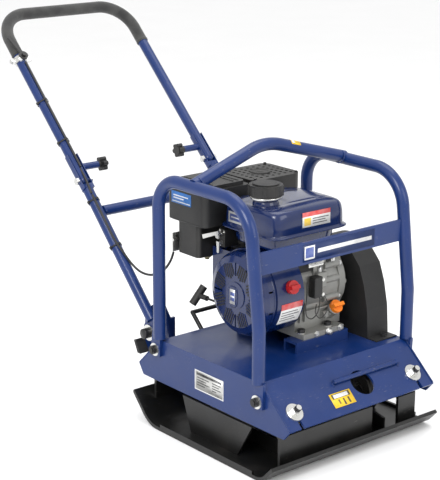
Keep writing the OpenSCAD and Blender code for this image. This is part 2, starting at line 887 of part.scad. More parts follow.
module rear_bail() {
    foot_x = -208;
    foot_zz = deck_z - (crease_r - foot_x) * tan(panel_slope_r);
    color(black) for (s = [-1, 1]) rod([foot_x, s * 85, foot_zz - 1], [-246, s * 85, 224], 5);
    color(black) bar_y(-246, 224, -85, 85, 5);
    color(black) for (s = [-1, 1]) translate([-246, s * 85, 224]) sphere(r = 5);
}

// ---------- handle ----------

// Channel that the upper arm folds out of: open on the upper side
module arm_sleeve() {
    wall = sleeve_r - handle_d / 2 - gap;
    translate([sleeve_lo, 0, 0]) difference() {
        union() {
            rotate([0, 90, 0]) cylinder(h = sleeve_hi - sleeve_lo, r = sleeve_r);
            translate([0, -sleeve_r, -9]) cube([sleeve_hi - sleeve_lo, 2 * sleeve_r, 9]);
        }
        translate([12, 0, 0]) rotate([0, 90, 0]) cylinder(h = 200, r = sleeve_r - wall);
        translate([12, wall - sleeve_r, -40]) cube([200, 2 * (sleeve_r - wall), 40]);
        translate([-1, -20, -40]) cube([200, 40, 31]);
    }
}

module lower_handle() {
    color(navy) for (s = [-1, 1]) {
        on_handle() translate([ankle_t, s * arm_y, 0]) rotate([0, 90, 0]) difference() {
            cylinder(h = sleeve_lo + 8 - ankle_t, r = handle_d / 2);
            translate([0, 0, -1]) cylinder(h = sleeve_lo - ankle_t, r = handle_d / 2 - tube_wall);
        }
        difference() {
            slab(s * arm_y - foot_half, s * arm_y + foot_half)
                polygon([for (p = [[-20, -12], [-12, -20], [12, -20], [20, -12], [22, 26], [10, 50],
                                   [-8, 34], [-20, 12]]) pivot + p]);
            bar_y(pivot[0], pivot[1], s * arm_y - 10, s * arm_y + 10, pivot_r + 0.05);
        }
        on_upper() translate([0, s * arm_y, 0]) difference() {
            union() {
                arm_sleeve();
                translate([knob_t, 0, 0]) rotate([s > 0 ? 90 : -90, 0, 0])
                    translate([0, 0, handle_d / 2 + 1]) cylinder(h = 46, r = 8.5);
            }
            translate([0, -30, 0]) rotate([-90, 0, 0]) cylinder(h = 60, r = fold_bolt_r);
            translate([knob_t, 0, 0]) rotate([s > 0 ? 90 : -90, 0, 0])
                cylinder(h = 70, r = pin_r + 0.05);
        }
    }
    color(navy) on_handle() translate([cross_t, -arm_y + handle_d / 2 - 1.5, 0])
        rotate([-90, 0, 0]) cylinder(h = 2 * arm_y - handle_d + 3, r = handle_d / 2);
}

module fold_bolts() {
    color(zinc) on_upper() for (s = [-1, 1]) translate([0, s * arm_y, 0]) rotate([-90, 0, 0]) {
        translate([0, 0, -22]) cylinder(h = 44, r = fold_bolt_r);
        for (h = [-21.5, 15]) translate([0, 0, h]) cylinder(h = 6.5, r = 9, $fn = 6);
    }
}

module upper_handle() {
    color(navy) on_upper() difference() {
        union() {
            bent_tube([[30, -arm_y], [top_t, -arm_y], [top_t, arm_y], [30, arm_y]],
                      top_bend_r, handle_d / 2, tube_wall);
            for (s = [-1, 1]) translate([0, s * arm_y, 0]) {
                sphere(r = handle_d / 2);
                rotate([0, 90, 0]) cylinder(h = 60, r = handle_d / 2);
            }
        }
        for (s = [-1, 1]) translate([0, s * arm_y - 30, 0]) rotate([-90, 0, 0])
            cylinder(h = 60, r = fold_bolt_r + 0.05);
    }
}

module grip_path(longer, r) {
    lo = grip_lo - longer;
    bent_bar([[lo, -arm_y], [top_t, -arm_y], [top_t, arm_y], [lo, arm_y]], top_bend_r, r);
}

module handle_grip() {
    color([0.2, 0.2, 0.2]) on_upper() difference() {
        grip_path(0, grip_d / 2);
        grip_path(5, handle_d / 2);
    }
}

// Throttle: a band round the right arm with a pivot boss on its upper side
module throttle_clamp() {
    color(zinc) on_upper() translate([clamp_t, -arm_y, 0]) difference() {
        union() {
            translate([-8, 0, 0]) rotate([0, 90, 0]) cylinder(h = 16, r = handle_d / 2 + 3.5);
            translate([-6, -25, -5]) cube([12, 50, 10]);
            rotate([180, 0, 0]) cylinder(h = 19, r = 12);
            for (y = [-28, 21]) translate([0, y, 0]) rotate([-90, 0, 0])
                cylinder(h = 7, r = 6, $fn = 6);
        }
        translate([-20, 0, 0]) rotate([0, 90, 0]) cylinder(h = 40, r = handle_d / 2);
        translate([0, 0, -25]) cylinder(h = 13, r = 3);
    }
}

module throttle_lever() {
    color([0.2, 0.2, 0.2]) on_upper() translate([clamp_t, -arm_y, 0]) rotate([180, 0, -14]) {
        translate([0, 0, 13]) cylinder(h = 12, r = 2.95);
        translate([0, 0, 19.3]) cylinder(h = 4, r = 11.5);
        translate([0, 0, 23]) cylinder(h = 5, r = 6, $fn = 6);
        translate([0, -4.5, 19.3]) cube([58, 9, 4]);
        translate([58, 0, 19.3]) cylinder(h = 4, r = 5.5);
    }
}

module lock_pin(s) {
    color(black) on_upper() translate([knob_t, s * arm_y, 0]) rotate([s > 0 ? 90 : -90, 0, 0]) {
        translate([0, 0, handle_d / 2 + gap]) cylinder(h = 54, r = pin_r);
        translate([0, 0, handle_d / 2 + 47.3]) cylinder(h = 8, r = 9);
        translate([0, 0, handle_d / 2 + 54]) cylinder(h = 15, r = 12);
        for (a = [0 : 60 : 300]) rotate(a) translate([12.6, 0, handle_d / 2 + 55])
            cylinder(h = 12.5, r = 5.4);
    }
}

module lock_pin_right() { lock_pin(-1); }
module lock_pin_left() { lock_pin(1); }

// Throttle cable along the upper arm, then along the lower arm and in a free loop to the engine
cable_y = -arm_y - 6;
loop_points = [[-482, cable_y, 478], [-440, cable_y, 434], [-398, cable_y, 389.5], [-372, -192, 364],
               [-350, -184, 339], [-326, -178, 324], [-300, -172, 320], [-276, -164, 326],
               [-257, -156, 341], [-245, -149, 362], [-240, -144, 383]];
// Points on a smooth curve through the loop points
function knot(i) = loop_points[max(0, min(len(loop_points) - 1, i))];
function curve(i, u) = 0.5 * (2 * knot(i) + (knot(i + 1) - knot(i - 1)) * u
    + (2 * knot(i - 1) - 5 * knot(i) + 4 * knot(i + 1) - knot(i + 2)) * u * u
    + (3 * knot(i) - knot(i - 1) - 3 * knot(i + 1) + knot(i + 2)) * u * u * u);
cable_steps = 4;
cable_path = [for (i = [0 : len(loop_points) - 2], u = [0 : cable_steps - 1])
              curve(i, u / cable_steps), loop_points[len(loop_points) - 1]];
cable_sides = 10;

// Tube swept along a list of points, each ring square to the path
module swept(p, r) {
    n = len(p);
    dir = [for (i = [0 : n - 1]) unit(p[min(i + 1, n - 1)] - p[max(i - 1, 0)])];
    ring = [for (i = [0 : n - 1]) let (a = unit(cross(dir[i], [0, 1, 0])), b = cross(dir[i], a))
            for (k = [0 : cable_sides - 1]) let (w = 360 * k / cable_sides)
                p[i] + r * (cos(w) * a + sin(w) * b)];
    polyhedron(ring, concat(
        [[for (k = [cable_sides - 1 : -1 : 0]) k]],
        [[for (k = [0 : cable_sides - 1]) (n - 1) * cable_sides + k]],
        [for (i = [0 : n - 2], k = [0 : cable_sides - 1]) let (m = (k + 1) % cable_sides)
            [i * cable_sides + k, i * cable_sides + m, (i + 1) * cable_sides + m,
             (i + 1) * cable_sides + k]]));
}

module throttle_cable_upper() {
    color(black) on_upper()
        translate([30, -arm_y, -cable_off]) rotate([0, 90, 0])
            cylinder(h = clamp_t - 47, r = cable_r);
}

module throttle_cable_lower() {
    color(black) swept(cable_path, cable_r);
}

base_plate();
base_ribs();
isolator_brackets();
exciter_housing();
exciter_covers();
exciter_bearings();
eccentric_shaft();
exciter_pulley();
rubber_mounts();
isolator_bolts();
deck();
handle_brackets();
tie_down_bar();
handle_bumpers();
data_plate();
engine_rails();
crankcase();
crankcase_cover();
cylinder_head();
rocker_cover();
spark_plug();
fan_shroud();
recoil_cover();
fuel_tank();
muffler();
muffler_guard();
air_cleaner_base();
air_cleaner_cover();
carburetor();
throttle_bracket();
sensor_box();
belt_guard();
drive_belt();
cage_hoop_right();
cage_hoop_left();
lifting_arch();
cross_plate();
frame_bolts();
frame_washers();
rear_bail();
crankshaft();
flywheel();
clutch_pulley();
starter_handle();
starter_rope();
engine_switch();
choke_lever();
fuel_valve_lever();
fuel_cap();
oil_dipstick();
lower_handle();
fold_bolts();
throttle_cable_lower();
upper_handle();
handle_grip();
throttle_clamp();
throttle_cable_upper();
throttle_lever();
lock_pin_right();
lock_pin_left();
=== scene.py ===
import math
import bpy
import numpy as np
from mathutils import Matrix, Vector


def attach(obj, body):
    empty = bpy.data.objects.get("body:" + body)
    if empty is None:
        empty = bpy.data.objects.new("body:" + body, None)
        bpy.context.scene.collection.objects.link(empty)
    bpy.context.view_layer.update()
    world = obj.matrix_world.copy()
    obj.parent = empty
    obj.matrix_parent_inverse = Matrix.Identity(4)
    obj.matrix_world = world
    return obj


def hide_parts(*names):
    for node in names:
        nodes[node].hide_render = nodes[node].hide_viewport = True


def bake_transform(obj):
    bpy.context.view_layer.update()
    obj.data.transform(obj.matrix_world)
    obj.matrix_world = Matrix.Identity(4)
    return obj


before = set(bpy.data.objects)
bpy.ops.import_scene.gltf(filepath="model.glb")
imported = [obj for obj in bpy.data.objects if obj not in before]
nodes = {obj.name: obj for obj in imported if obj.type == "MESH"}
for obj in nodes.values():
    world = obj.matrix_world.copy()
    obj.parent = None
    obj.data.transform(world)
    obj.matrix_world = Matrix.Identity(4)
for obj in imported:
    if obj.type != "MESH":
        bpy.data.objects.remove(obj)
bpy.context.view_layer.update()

print("frame loaded,", len(nodes), "nodes")


# shader helpers

def link(tree, value, socket):
    if isinstance(value, bpy.types.NodeSocket):
        tree.links.new(value, socket)
    else:
        socket.default_value = value


def put(tree, kind, inputs=None, **settings):
    node = tree.nodes.new("ShaderNode" + kind)
    for key, value in settings.items():
        setattr(node, key, value)
    for key, value in (inputs or {}).items():
        link(tree, value, node.inputs[key])
    return node


def calc(tree, operation, *values):
    node = put(tree, "Math", operation=operation)
    for i, value in enumerate(values):
        link(tree, value, node.inputs[i])
    return node.outputs[0]


def blendColour(tree, factor, first, second):
    node = put(tree, "Mix", data_type="RGBA")
    for i, value in ((0, factor), (6, first), (7, second)):
        link(tree, value, node.inputs[i])
    return node.outputs[2]


def noise(tree, vector, scale, detail=3.0, roughness=0.5):
    return put(tree, "TexNoise", {"Vector": vector, "Scale": scale, "Detail": detail,
                                  "Roughness": roughness}).outputs["Fac"]


def fit(tree, value, low, high, outLow=0.0, outHigh=1.0):
    return put(tree, "MapRange", {"Value": value, "From Min": low, "From Max": high,
                                  "To Min": outLow, "To Max": outHigh}).outputs["Result"]


def buildGroup(name, inputs, outputs, fill):
    tree = bpy.data.node_groups.new(name, "ShaderNodeTree")
    for label, kind, value in inputs:
        socket = tree.interface.new_socket(label, in_out="INPUT", socket_type="NodeSocket" + kind)
        if value is not None:
            socket.default_value = value
    for label, kind in outputs:
        tree.interface.new_socket(label, in_out="OUTPUT", socket_type="NodeSocket" + kind)
    source = tree.nodes.new("NodeGroupInput")
    results = fill(tree, source.outputs)
    sink = tree.nodes.new("NodeGroupOutput")
    for label, value in results.items():
        tree.links.new(value, sink.inputs[label])
    return tree


# site dust, rubbed scratches and a slow mottle, all from object coordinates
def fillWear(tree, given):
    vector = given["Vector"]
    cloud = noise(tree, vector, given["Dust Scale"], 6.0, 0.62)
    upward = put(tree, "SeparateXYZ", {"Vector": given["Normal"]}).outputs["Z"]
    settle = calc(tree, "MULTIPLY_ADD", calc(tree, "MAXIMUM", upward, 0.0), 0.55, 0.45)
    dust = calc(tree, "MULTIPLY", fit(tree, cloud, 0.5, 0.78), settle)
    dust = calc(tree, "MULTIPLY", dust, given["Dust"])
    stretched = put(tree, "Mapping", {"Vector": vector, "Scale": (1.0, 0.08, 0.35)}).outputs[0]
    lines = noise(tree, stretched, 900.0, 2.0, 0.4)
    patch = noise(tree, vector, 26.0, 2.0)
    scratch = calc(tree, "MULTIPLY", fit(tree, lines, 0.66, 0.74), fit(tree, patch, 0.5, 0.62))
    scratch = calc(tree, "MULTIPLY", scratch, given["Scratches"])
    mottle = noise(tree, vector, 14.0, 4.0)
    fine = noise(tree, vector, given["Grain Scale"], 2.0)
    height = calc(tree, "MULTIPLY_ADD", scratch, -0.5, fine)
    return {"Dust": dust, "Scratch": scratch, "Mottle": mottle, "Height": height}


wearGroup = buildGroup(
    "siteWear",
    [("Vector", "Vector", None), ("Normal", "Vector", None), ("Dust", "Float", 0.5),
     ("Dust Scale", "Float", 9.0), ("Scratches", "Float", 0.5), ("Grain Scale", "Float", 900.0)],
    [("Dust", "Float"), ("Scratch", "Float"), ("Mottle", "Float"), ("Height", "Float")], fillWear)


def newSurface(name, **constants):
    mat = bpy.data.materials.new(name)
    mat.use_nodes = True
    tree = mat.node_tree
    tree.nodes.clear()
    shader = put(tree, "BsdfPrincipled", constants)
    out = put(tree, "OutputMaterial")
    tree.links.new(shader.outputs[0], out.inputs["Surface"])
    return mat, tree, shader


dustColour = (0.30, 0.27, 0.23, 1.0)


# one finish: base colour varied by the mottle, bare where scratched, pale where dusty
def finish(name, colour, rough, bare=None, dust=0.2, dustScale=9.0, scratches=0.5, grain=900.0,
           bump=0.05, vary=0.18, roughVary=0.12, constants=None):
    mat, tree, shader = newSurface(name, **(constants or {}))
    coords = put(tree, "TexCoord")
    wear = put(tree, "Group", node_tree=wearGroup)
    for key, value in (("Vector", coords.outputs["Object"]), ("Normal", coords.outputs["Normal"]),
                       ("Dust", dust), ("Dust Scale", dustScale), ("Scratches", scratches),
                       ("Grain Scale", grain)):
        link(tree, value, wear.inputs[key])
    dark = tuple(c * (1 - vary) for c in colour) + (1.0,)
    light = tuple(min(1.0, c * (1 + vary)) for c in colour) + (1.0,)
    body = blendColour(tree, wear.outputs["Mottle"], dark, light)
    if bare:
        body = blendColour(tree, wear.outputs["Scratch"], body, bare + (1.0,))
    tree.links.new(blendColour(tree, wear.outputs["Dust"], body, dustColour),
                   shader.inputs["Base Color"])
    uneven = fit(tree, wear.outputs["Mottle"], 0.3, 0.7, rough - roughVary / 2,
                 rough + roughVary / 2)
    dulled = calc(tree, "MULTIPLY_ADD", wear.outputs["Dust"], 0.4, uneven)
    tree.links.new(calc(tree, "MULTIPLY_ADD", wear.outputs["Scratch"], 0.15, dulled),
                   shader.inputs["Roughness"])
    relief = put(tree, "Bump", {"Strength": bump, "Distance": 0.0006,
                                "Height": wear.outputs["Height"]})
    tree.links.new(relief.outputs[0], shader.inputs["Normal"])
    return mat


gloss = {"Coat Weight": 0.2, "Coat Roughness": 0.07, "Specular IOR Level": 0.35}
mats = {
    "navyPaint": finish("navyPaint", (0.003, 0.022, 0.118), 0.34, (0.20, 0.20, 0.21), dust=0.05,
                        bump=0.06, constants=gloss),
    "tankPaint": finish("tankPaint", (0.002, 0.012, 0.070), 0.2, dust=0.08, scratches=0.15,
                        bump=0.02, constants={"Coat Weight": 0.4, "Coat Roughness": 0.04,
                                              "Specular IOR Level": 0.4}),
    "frameBlack": finish("frameBlack", (0.004, 0.004, 0.0038), 0.38, (0.12, 0.11, 0.10), dust=0.07,
                         bump=0.10),
    "castIron": finish("castIron", (0.045, 0.044, 0.043), 0.62, (0.25, 0.24, 0.23), dust=0.5,
                       grain=420.0, bump=0.5),
    "steel": finish("steel", (0.50, 0.50, 0.49), 0.3, dust=0.2, constants={"Metallic": 1.0}),
    "rubber": finish("rubber", (0.020, 0.020, 0.020), 0.78, dust=0.45, scratches=0.0, grain=1500.0,
                     bump=0.25),
    "zinc": finish("zinc", (0.66, 0.66, 0.64), 0.28, (0.40, 0.39, 0.36), dust=0.25,
                   constants={"Metallic": 0.95}),
    "darkBolts": finish("darkBolts", (0.030, 0.030, 0.032), 0.38, (0.3, 0.3, 0.3), dust=0.2,
                        constants={"Metallic": 0.6}),
    "castAluminium": finish("castAluminium", (0.27, 0.27, 0.255), 0.5, (0.6, 0.6, 0.6), dust=0.25,
                            grain=520.0, bump=0.4, constants={"Metallic": 0.55}),
    "blackMetal": finish("blackMetal", (0.009, 0.0085, 0.008), 0.5, dust=0.1, grain=700.0,
                         bump=0.3),
    "blackPlastic": finish("blackPlastic", (0.009, 0.009, 0.009), 0.46, dust=0.07, scratches=0.2,
                           grain=1700.0, bump=0.3),
    "matteShell": finish("matteShell", (0.009, 0.009, 0.009), 0.52, dust=0.07, scratches=0.3,
                         grain=1300.0, bump=0.35),
    "redPlastic": finish("redPlastic", (0.42, 0.010, 0.012), 0.3, dust=0.1),
    "orangePlastic": finish("orangePlastic", (0.75, 0.19, 0.01), 0.35, dust=0.1),
    "darkCast": finish("darkCast", (0.016, 0.016, 0.016), 0.45, (0.5, 0.5, 0.48), dust=0.1,
                       grain=500.0, bump=0.3, constants={"Metallic": 0.4}),
    "oliveCast": finish("oliveCast", (0.30, 0.26, 0.12), 0.42, (0.5, 0.5, 0.45), dust=0.2,
                        grain=500.0, bump=0.3, constants={"Metallic": 0.7}),
    "cableSheath": finish("cableSheath", (0.012, 0.012, 0.012), 0.42, dust=0.12, grain=2200.0),
    "hose": finish("hose", (0.018, 0.018, 0.018), 0.55, dust=0.2, grain=1200.0, bump=0.2),
}


# closed-cell foam: small round cells in a dark grey skin, the cell pits darkened as painted shade
def foamMaterial():
    mat, tree, shader = newSurface("foam", **{"Roughness": 0.9, "Sheen Weight": 0.25})
    coords = put(tree, "TexCoord").outputs["Object"]
    cells = put(tree, "TexVoronoi", {"Vector": coords, "Scale": 950.0}).outputs["Distance"]
    rubbed = noise(tree, coords, 30.0, 4.0)
    skin = blendColour(tree, fit(tree, rubbed, 0.4, 0.65), (0.022, 0.022, 0.022, 1),
                       (0.048, 0.048, 0.046, 1))
    # cell pits near black: painted shade in the hollows; the rubbed skin tone is real
    tree.links.new(blendColour(tree, fit(tree, cells, 0.0, 0.35), (0.008, 0.008, 0.008, 1), skin),
                   shader.inputs["Base Color"])
    relief = put(tree, "Bump", {"Strength": 0.5, "Distance": 0.0005, "Height": cells})
    tree.links.new(relief.outputs[0], shader.inputs["Normal"])
    return mat


# braided cord: two crossing waves along object coordinates, the grooves painted darker as painted
# shade
def ropeMaterial():
    mat, tree, shader = newSurface("rope", **{"Roughness": 0.85})
    coords = put(tree, "TexCoord").outputs["Object"]
    waves = [put(tree, "TexWave", {"Vector": coords, "Scale": 260.0, "Distortion": 0.5},
                 bands_direction=way).outputs["Fac"] for way in ("X", "DIAGONAL")]
    braid = calc(tree, "MULTIPLY", *waves)
    # dark where the braid is low: painted shade in the grooves, lighter on the raised strands
    tree.links.new(blendColour(tree, braid, (0.01, 0.01, 0.01, 1), (0.07, 0.07, 0.07, 1)),
                   shader.inputs["Base Color"])
    relief = put(tree, "Bump", {"Strength": 0.6, "Distance": 0.0006, "Height": braid})
    tree.links.new(relief.outputs[0], shader.inputs["Normal"])
    return mat


mats["foam"] = foamMaterial()
mats["rope"] = ropeMaterial()


# printed foil or vinyl: bars and panels placed by UV, with rubbed print
def printed(name, ground, marks, rough=0.35, metallic=0.0):
    mat, tree, shader = newSurface(name, Metallic=metallic)
    coords = put(tree, "TexCoord")
    place = put(tree, "SeparateXYZ", {"Vector": coords.outputs["UV"]})
    rub = fit(tree, noise(tree, coords.outputs["Object"], 60.0, 5.0), 0.3, 0.75, 1.0, 0.75)
    colour = blendColour(tree, fit(tree, noise(tree, coords.outputs["Object"], 18.0), 0.3, 0.7),
                         tuple(c * 0.88 for c in ground) + (1.0,), ground + (1.0,))
    for u0, v0, u1, v1, ink in marks:
        across = calc(tree, "COMPARE", place.outputs["X"], (u0 + u1) / 2, (u1 - u0) / 2)
        up = calc(tree, "COMPARE", place.outputs["Y"], (v0 + v1) / 2, (v1 - v0) / 2)
        mask = calc(tree, "MULTIPLY", calc(tree, "MULTIPLY", across, up), rub)
        colour = blendColour(tree, mask, colour, ink + (1.0,))
    tree.links.new(colour, shader.inputs["Base Color"])
    tree.links.new(fit(tree, rub, 0.75, 1.0, rough + 0.2, rough), shader.inputs["Roughness"])
    return mat


# which finish each node wears
wears = {
    "navyPaint": ["deck", "handle_brackets", "tie_down_bar", "engine_rails", "cage_hoop_right",
                  "cage_hoop_left", "lifting_arch", "cross_plate", "lower_handle", "upper_handle"],
    "tankPaint": ["fan_shroud", "recoil_cover", "fuel_tank"],
    "frameBlack": ["base_plate", "base_ribs", "isolator_brackets", "rear_bail"],
    "castIron": ["exciter_housing", "exciter_covers", "exciter_pulley", "flywheel",
                 "clutch_pulley"],
    "steel": ["exciter_bearings", "eccentric_shaft", "crankshaft", "spark_plug"],
    "rubber": ["rubber_mounts", "handle_bumpers", "drive_belt"],
    "zinc": ["isolator_bolts", "frame_washers", "throttle_bracket", "choke_lever",
             "fuel_valve_lever", "fold_bolts", "throttle_clamp"],
    "darkBolts": ["frame_bolts"],
    "castAluminium": ["crankcase", "crankcase_cover", "cylinder_head"],
    "darkCast": ["carburetor"],
    "blackMetal": ["rocker_cover", "muffler", "muffler_guard"],
    "matteShell": ["belt_guard"],
    "blackPlastic": ["air_cleaner_base", "air_cleaner_cover", "sensor_box", "fuel_cap",
                     "starter_handle", "throttle_lever", "lock_pin_right", "lock_pin_left"],
    "redPlastic": ["engine_switch"], "orangePlastic": ["oil_dipstick"], "foam": ["handle_grip"],
    "cableSheath": ["throttle_cable_lower", "throttle_cable_upper"], "rope": ["starter_rope"],
}
for finishName, members in wears.items():
    for member in members:
        nodes[member].data.materials.clear()
        nodes[member].data.materials.append(mats[finishName])

# softened edges on the CAD nodes, width in metres
edgeBreaks = {"deck": 0.0012, "base_plate": 0.0015, "handle_brackets": 0.001, "cross_plate": 0.001,
              "crankcase": 0.002, "air_cleaner_cover": 0.005, "air_cleaner_base": 0.003,
              "muffler_guard": 0.0012, "belt_guard": 0.0012, "carburetor": 0.0015,
              "sensor_box": 0.0015, "engine_rails": 0.001, "isolator_brackets": 0.0012,
              "fuel_cap": 0.0015, "rocker_cover": 0.003, "throttle_lever": 0.0008}
for member, width in edgeBreaks.items():
    soften = nodes[member].modifiers.new("edgeBreak", "BEVEL")
    soften.width = width
    soften.segments = 3
    soften.limit_method = "ANGLE"
    soften.angle_limit = math.radians(40)
print("finishes on", sum(len(v) for v in wears.values()), "nodes")


# shape helpers; all lengths in metres, finished pieces at the origin

def gridPiece(name, points, mat, body, closeU=False, closeV=False, thick=0.0):
    n, m = points.shape[:2]
    index = np.arange(n * m).reshape(n, m)
    i = np.arange(n if closeU else n - 1)
    j = np.arange(m if closeV else m - 1)
    i2, j2 = (i + 1) % n, (j + 1) % m
    quads = np.stack([index[np.ix_(i, j)], index[np.ix_(i2, j)], index[np.ix_(i2, j2)],
                      index[np.ix_(i, j2)]], -1).reshape(-1, 4)
    flat = points.reshape(-1, 3)
    if not thick:      # outward: the enclosed volume must be positive
        q = flat[quads] - flat.mean(0)
        volume = (q[:, 0] * np.cross(q[:, 1], q[:, 2])).sum() + (q[:, 0] * np.cross(q[:, 2],
                                                                                    q[:, 3])).sum()
        if volume < 0:
            quads = quads[:, ::-1]
    mesh = bpy.data.meshes.new(name)
    mesh.from_pydata(flat.tolist(), [], quads.tolist())
    u = np.repeat(np.linspace(0, 1, n), m)
    v = np.tile(np.linspace(0, 1, m), n)
    layer = mesh.uv_layers.new(name="UVMap")
    corner = np.empty(len(mesh.loops), dtype=np.int32)
    mesh.loops.foreach_get("vertex_index", corner)
    layer.data.foreach_set("uv", np.stack([u[corner], v[corner]], -1).ravel())
    mesh.polygons.foreach_set("use_smooth", np.ones(len(mesh.polygons), dtype=bool))
    return showPiece(name, mesh, mat, body, thick)


def showPiece(name, mesh, mat, body, thick=0.0, bevel=0.0):
    mesh.update()
    mesh.materials.append(mats[mat] if isinstance(mat, str) else mat)
    piece = bpy.data.objects.new(name, mesh)
    bpy.context.scene.collection.objects.link(piece)
    if thick:
        shell = piece.modifiers.new("thickness", "SOLIDIFY")
        shell.thickness = thick
        shell.offset = 1.0
    if bevel:
        soften = piece.modifiers.new("edgeBreak", "BEVEL")
        soften.width = bevel
        soften.segments = 3
        soften.limit_method = "ANGLE"
    if body:
        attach(piece, body)
    return piece


# Catmull-Rom: a smooth path through every given point
def smoothPath(points, steps=10):
    p = np.array(points, float) / 1000.0
    p = np.vstack([2 * p[0] - p[1], p, 2 * p[-1] - p[-2]])
    u = np.linspace(0, 1, steps, endpoint=False)[None, :, None]
    a, b, c, d = (p[k:len(p) - 3 + k][:, None, :] for k in range(4))
    path = 0.5 * (2 * b + (c - a) * u + (2 * a - 5 * b + 4 * c - d) * u ** 2
                  + (3 * b - a - 3 * c + d) * u ** 3)
    return np.vstack([path.reshape(-1, 3), p[-2]])


def unitRows(v):
    return v / np.linalg.norm(v, axis=-1, keepdims=True)


# round section of the given radius (a number or one per point) swept along a path; ends closed
def tubeAlong(path, radius, sides=14, upward=(0.13, 0.21, 0.97)):
    radius = np.broadcast_to(np.asarray(radius, float), (len(path),))
    way = unitRows(np.gradient(path, axis=0))
    a = unitRows(np.cross(way, np.array(upward)))
    b = np.cross(way, a)
    angle = np.linspace(0, 2 * math.pi, sides, endpoint=False)[None, :, None]
    ring = np.cos(angle) * a[:, None, :] + np.sin(angle) * b[:, None, :]
    body = path[:, None, :] + radius[:, None, None] * ring
    caps = [path[k][None, None, :] + ring[k][None] * 1e-5 for k in (0, -1)]
    return np.concatenate([caps[0], body, caps[1]])


# profile rows (distance along the axis, radius) turned about an axis through a point
def turned(profile, centre, axis, sides=36):
    profile = np.asarray(profile, float) / 1000.0
    axis = unitRows(np.asarray(axis, float))
    a = unitRows(np.cross(axis, [0.31, 0.95, 0.07]))
    b = np.cross(axis, a)
    angle = np.linspace(0, 2 * math.pi, sides, endpoint=False)[None, :, None]
    radius = np.maximum(profile[:, 1], 1e-5)[:, None, None]
    return (np.asarray(centre, float) / 1000.0 + profile[:, 0][:, None, None] * axis
            + radius * (np.cos(angle) * a + np.sin(angle) * b))


def hose(name, points, radius, mat, body, sides=14):
    return gridPiece(name, tubeAlong(smoothPath(points), radius / 1000.0, sides), mat, body,
                     closeV=True)


def spin(name, profile, centre, axis, mat, body, sides=36):
    return gridPiece(name, turned(profile, centre, axis, sides), mat, body, closeV=True)


# flat patch: corner plus u and v edges
def patchPoints(corner, along, up):
    corner, along, up = (np.array(v, float) for v in (corner, along, up))
    s = np.array([0.0, 1.0])[:, None, None]
    t = np.array([0.0, 1.0])[None, :, None]
    return (corner + s * along + t * up) / 1000.0


# plain block between two corners in millimetres
def blockPiece(name, low, high, mat, body, bevel=0.5):
    low, high = np.array(low, float) / 1000, np.array(high, float) / 1000
    pick = np.array([[0, 0, 0], [1, 0, 0], [1, 1, 0], [0, 1, 0], [0, 0, 1], [1, 0, 1], [1, 1, 1],
                     [0, 1, 1]])
    corners = low + pick * (high - low)
    mesh = bpy.data.meshes.new(name)
    mesh.from_pydata(corners.tolist(), [], [[0, 3, 2, 1], [4, 5, 6, 7], [0, 1, 5, 4], [1, 2, 6, 5],
                                            [2, 3, 7, 6], [3, 0, 4, 7]])
    return showPiece(name, mesh, mat, body, bevel=bevel / 1000)


# labels, all blank bars and panels
dark = (0.03, 0.03, 0.035)
white = (0.80, 0.80, 0.78)
red = (0.55, 0.02, 0.02)
yellow = (0.85, 0.55, 0.02)
navyInk = (0.02, 0.06, 0.30)


def bars(u0, u1, rows, ink, height=0.055):
    return [(u0, v, u0 + (u1 - u0) * share, v + height, ink) for v, share in rows]


mats["dataFoil"] = printed("dataFoil", (0.62, 0.62, 0.60), [
    (0.04, 0.80, 0.96, 0.94, dark)] + bars(0.06, 0.55, [(0.64, 0.9), (0.5, 0.7), (0.36, 0.95),
                                                        (0.22, 0.6)], dark)
    + bars(0.62, 0.94, [(0.64, 1.0), (0.5, 0.8), (0.36, 1.0), (0.22, 0.5)], dark), 0.32, 0.8)
mats["yellowSign"] = printed("yellowSign", yellow, [
    (0.06, 0.08, 0.40, 0.92, dark), (0.10, 0.16, 0.36, 0.84, white)]
    + bars(0.48, 0.94, [(0.72, 0.9), (0.5, 1.0), (0.28, 0.7)], dark, 0.08), 0.4)
mats["drumLabel"] = printed("drumLabel", white, [(0.0, 0.72, 1.0, 1.0, red)]
    + bars(0.07, 0.9, [(0.55, 0.9), (0.42, 1.0), (0.29, 0.75), (0.16, 0.9)], dark, 0.05), 0.4)
mats["tankLabel"] = printed("tankLabel", white, [
    (0.0, 0.7, 1.0, 1.0, red), (0.06, 0.1, 0.3, 0.6, yellow)]
    + bars(0.36, 0.94, [(0.48, 1.0), (0.32, 0.8), (0.16, 0.9)], dark, 0.07), 0.4)
mats["blueLabel"] = printed("blueLabel", (0.03, 0.16, 0.48), [
    (0.05, 0.12, 0.95, 0.2, white)] + bars(0.1, 0.85, [(0.62, 1.0), (0.4, 0.7)], white, 0.1), 0.35)
mats["plainBadge"] = printed("plainBadge", (0.72, 0.72, 0.70), [
    (0.06, 0.2, 0.94, 0.8, navyInk), (0.12, 0.44, 0.88, 0.56, white)], 0.3, 0.5)
mats["crossBlank"] = printed("crossBlank", (0.003, 0.019, 0.098), [
    (0.02, 0.1, 0.16, 0.9, white), (0.035, 0.2, 0.145, 0.8, navyInk),
    (0.2, 0.38, 0.96, 0.62, white)], 0.3)
# near-black finish for painted shade: the recoil slot openings and the valley between the
# crankcase ribs
mats["paintedShadeBlack"] = finish("paintedShadeBlack", (0.006, 0.006, 0.007), 0.7, dust=0.1, scratches=0.0)
print("materials ready,", len(mats))


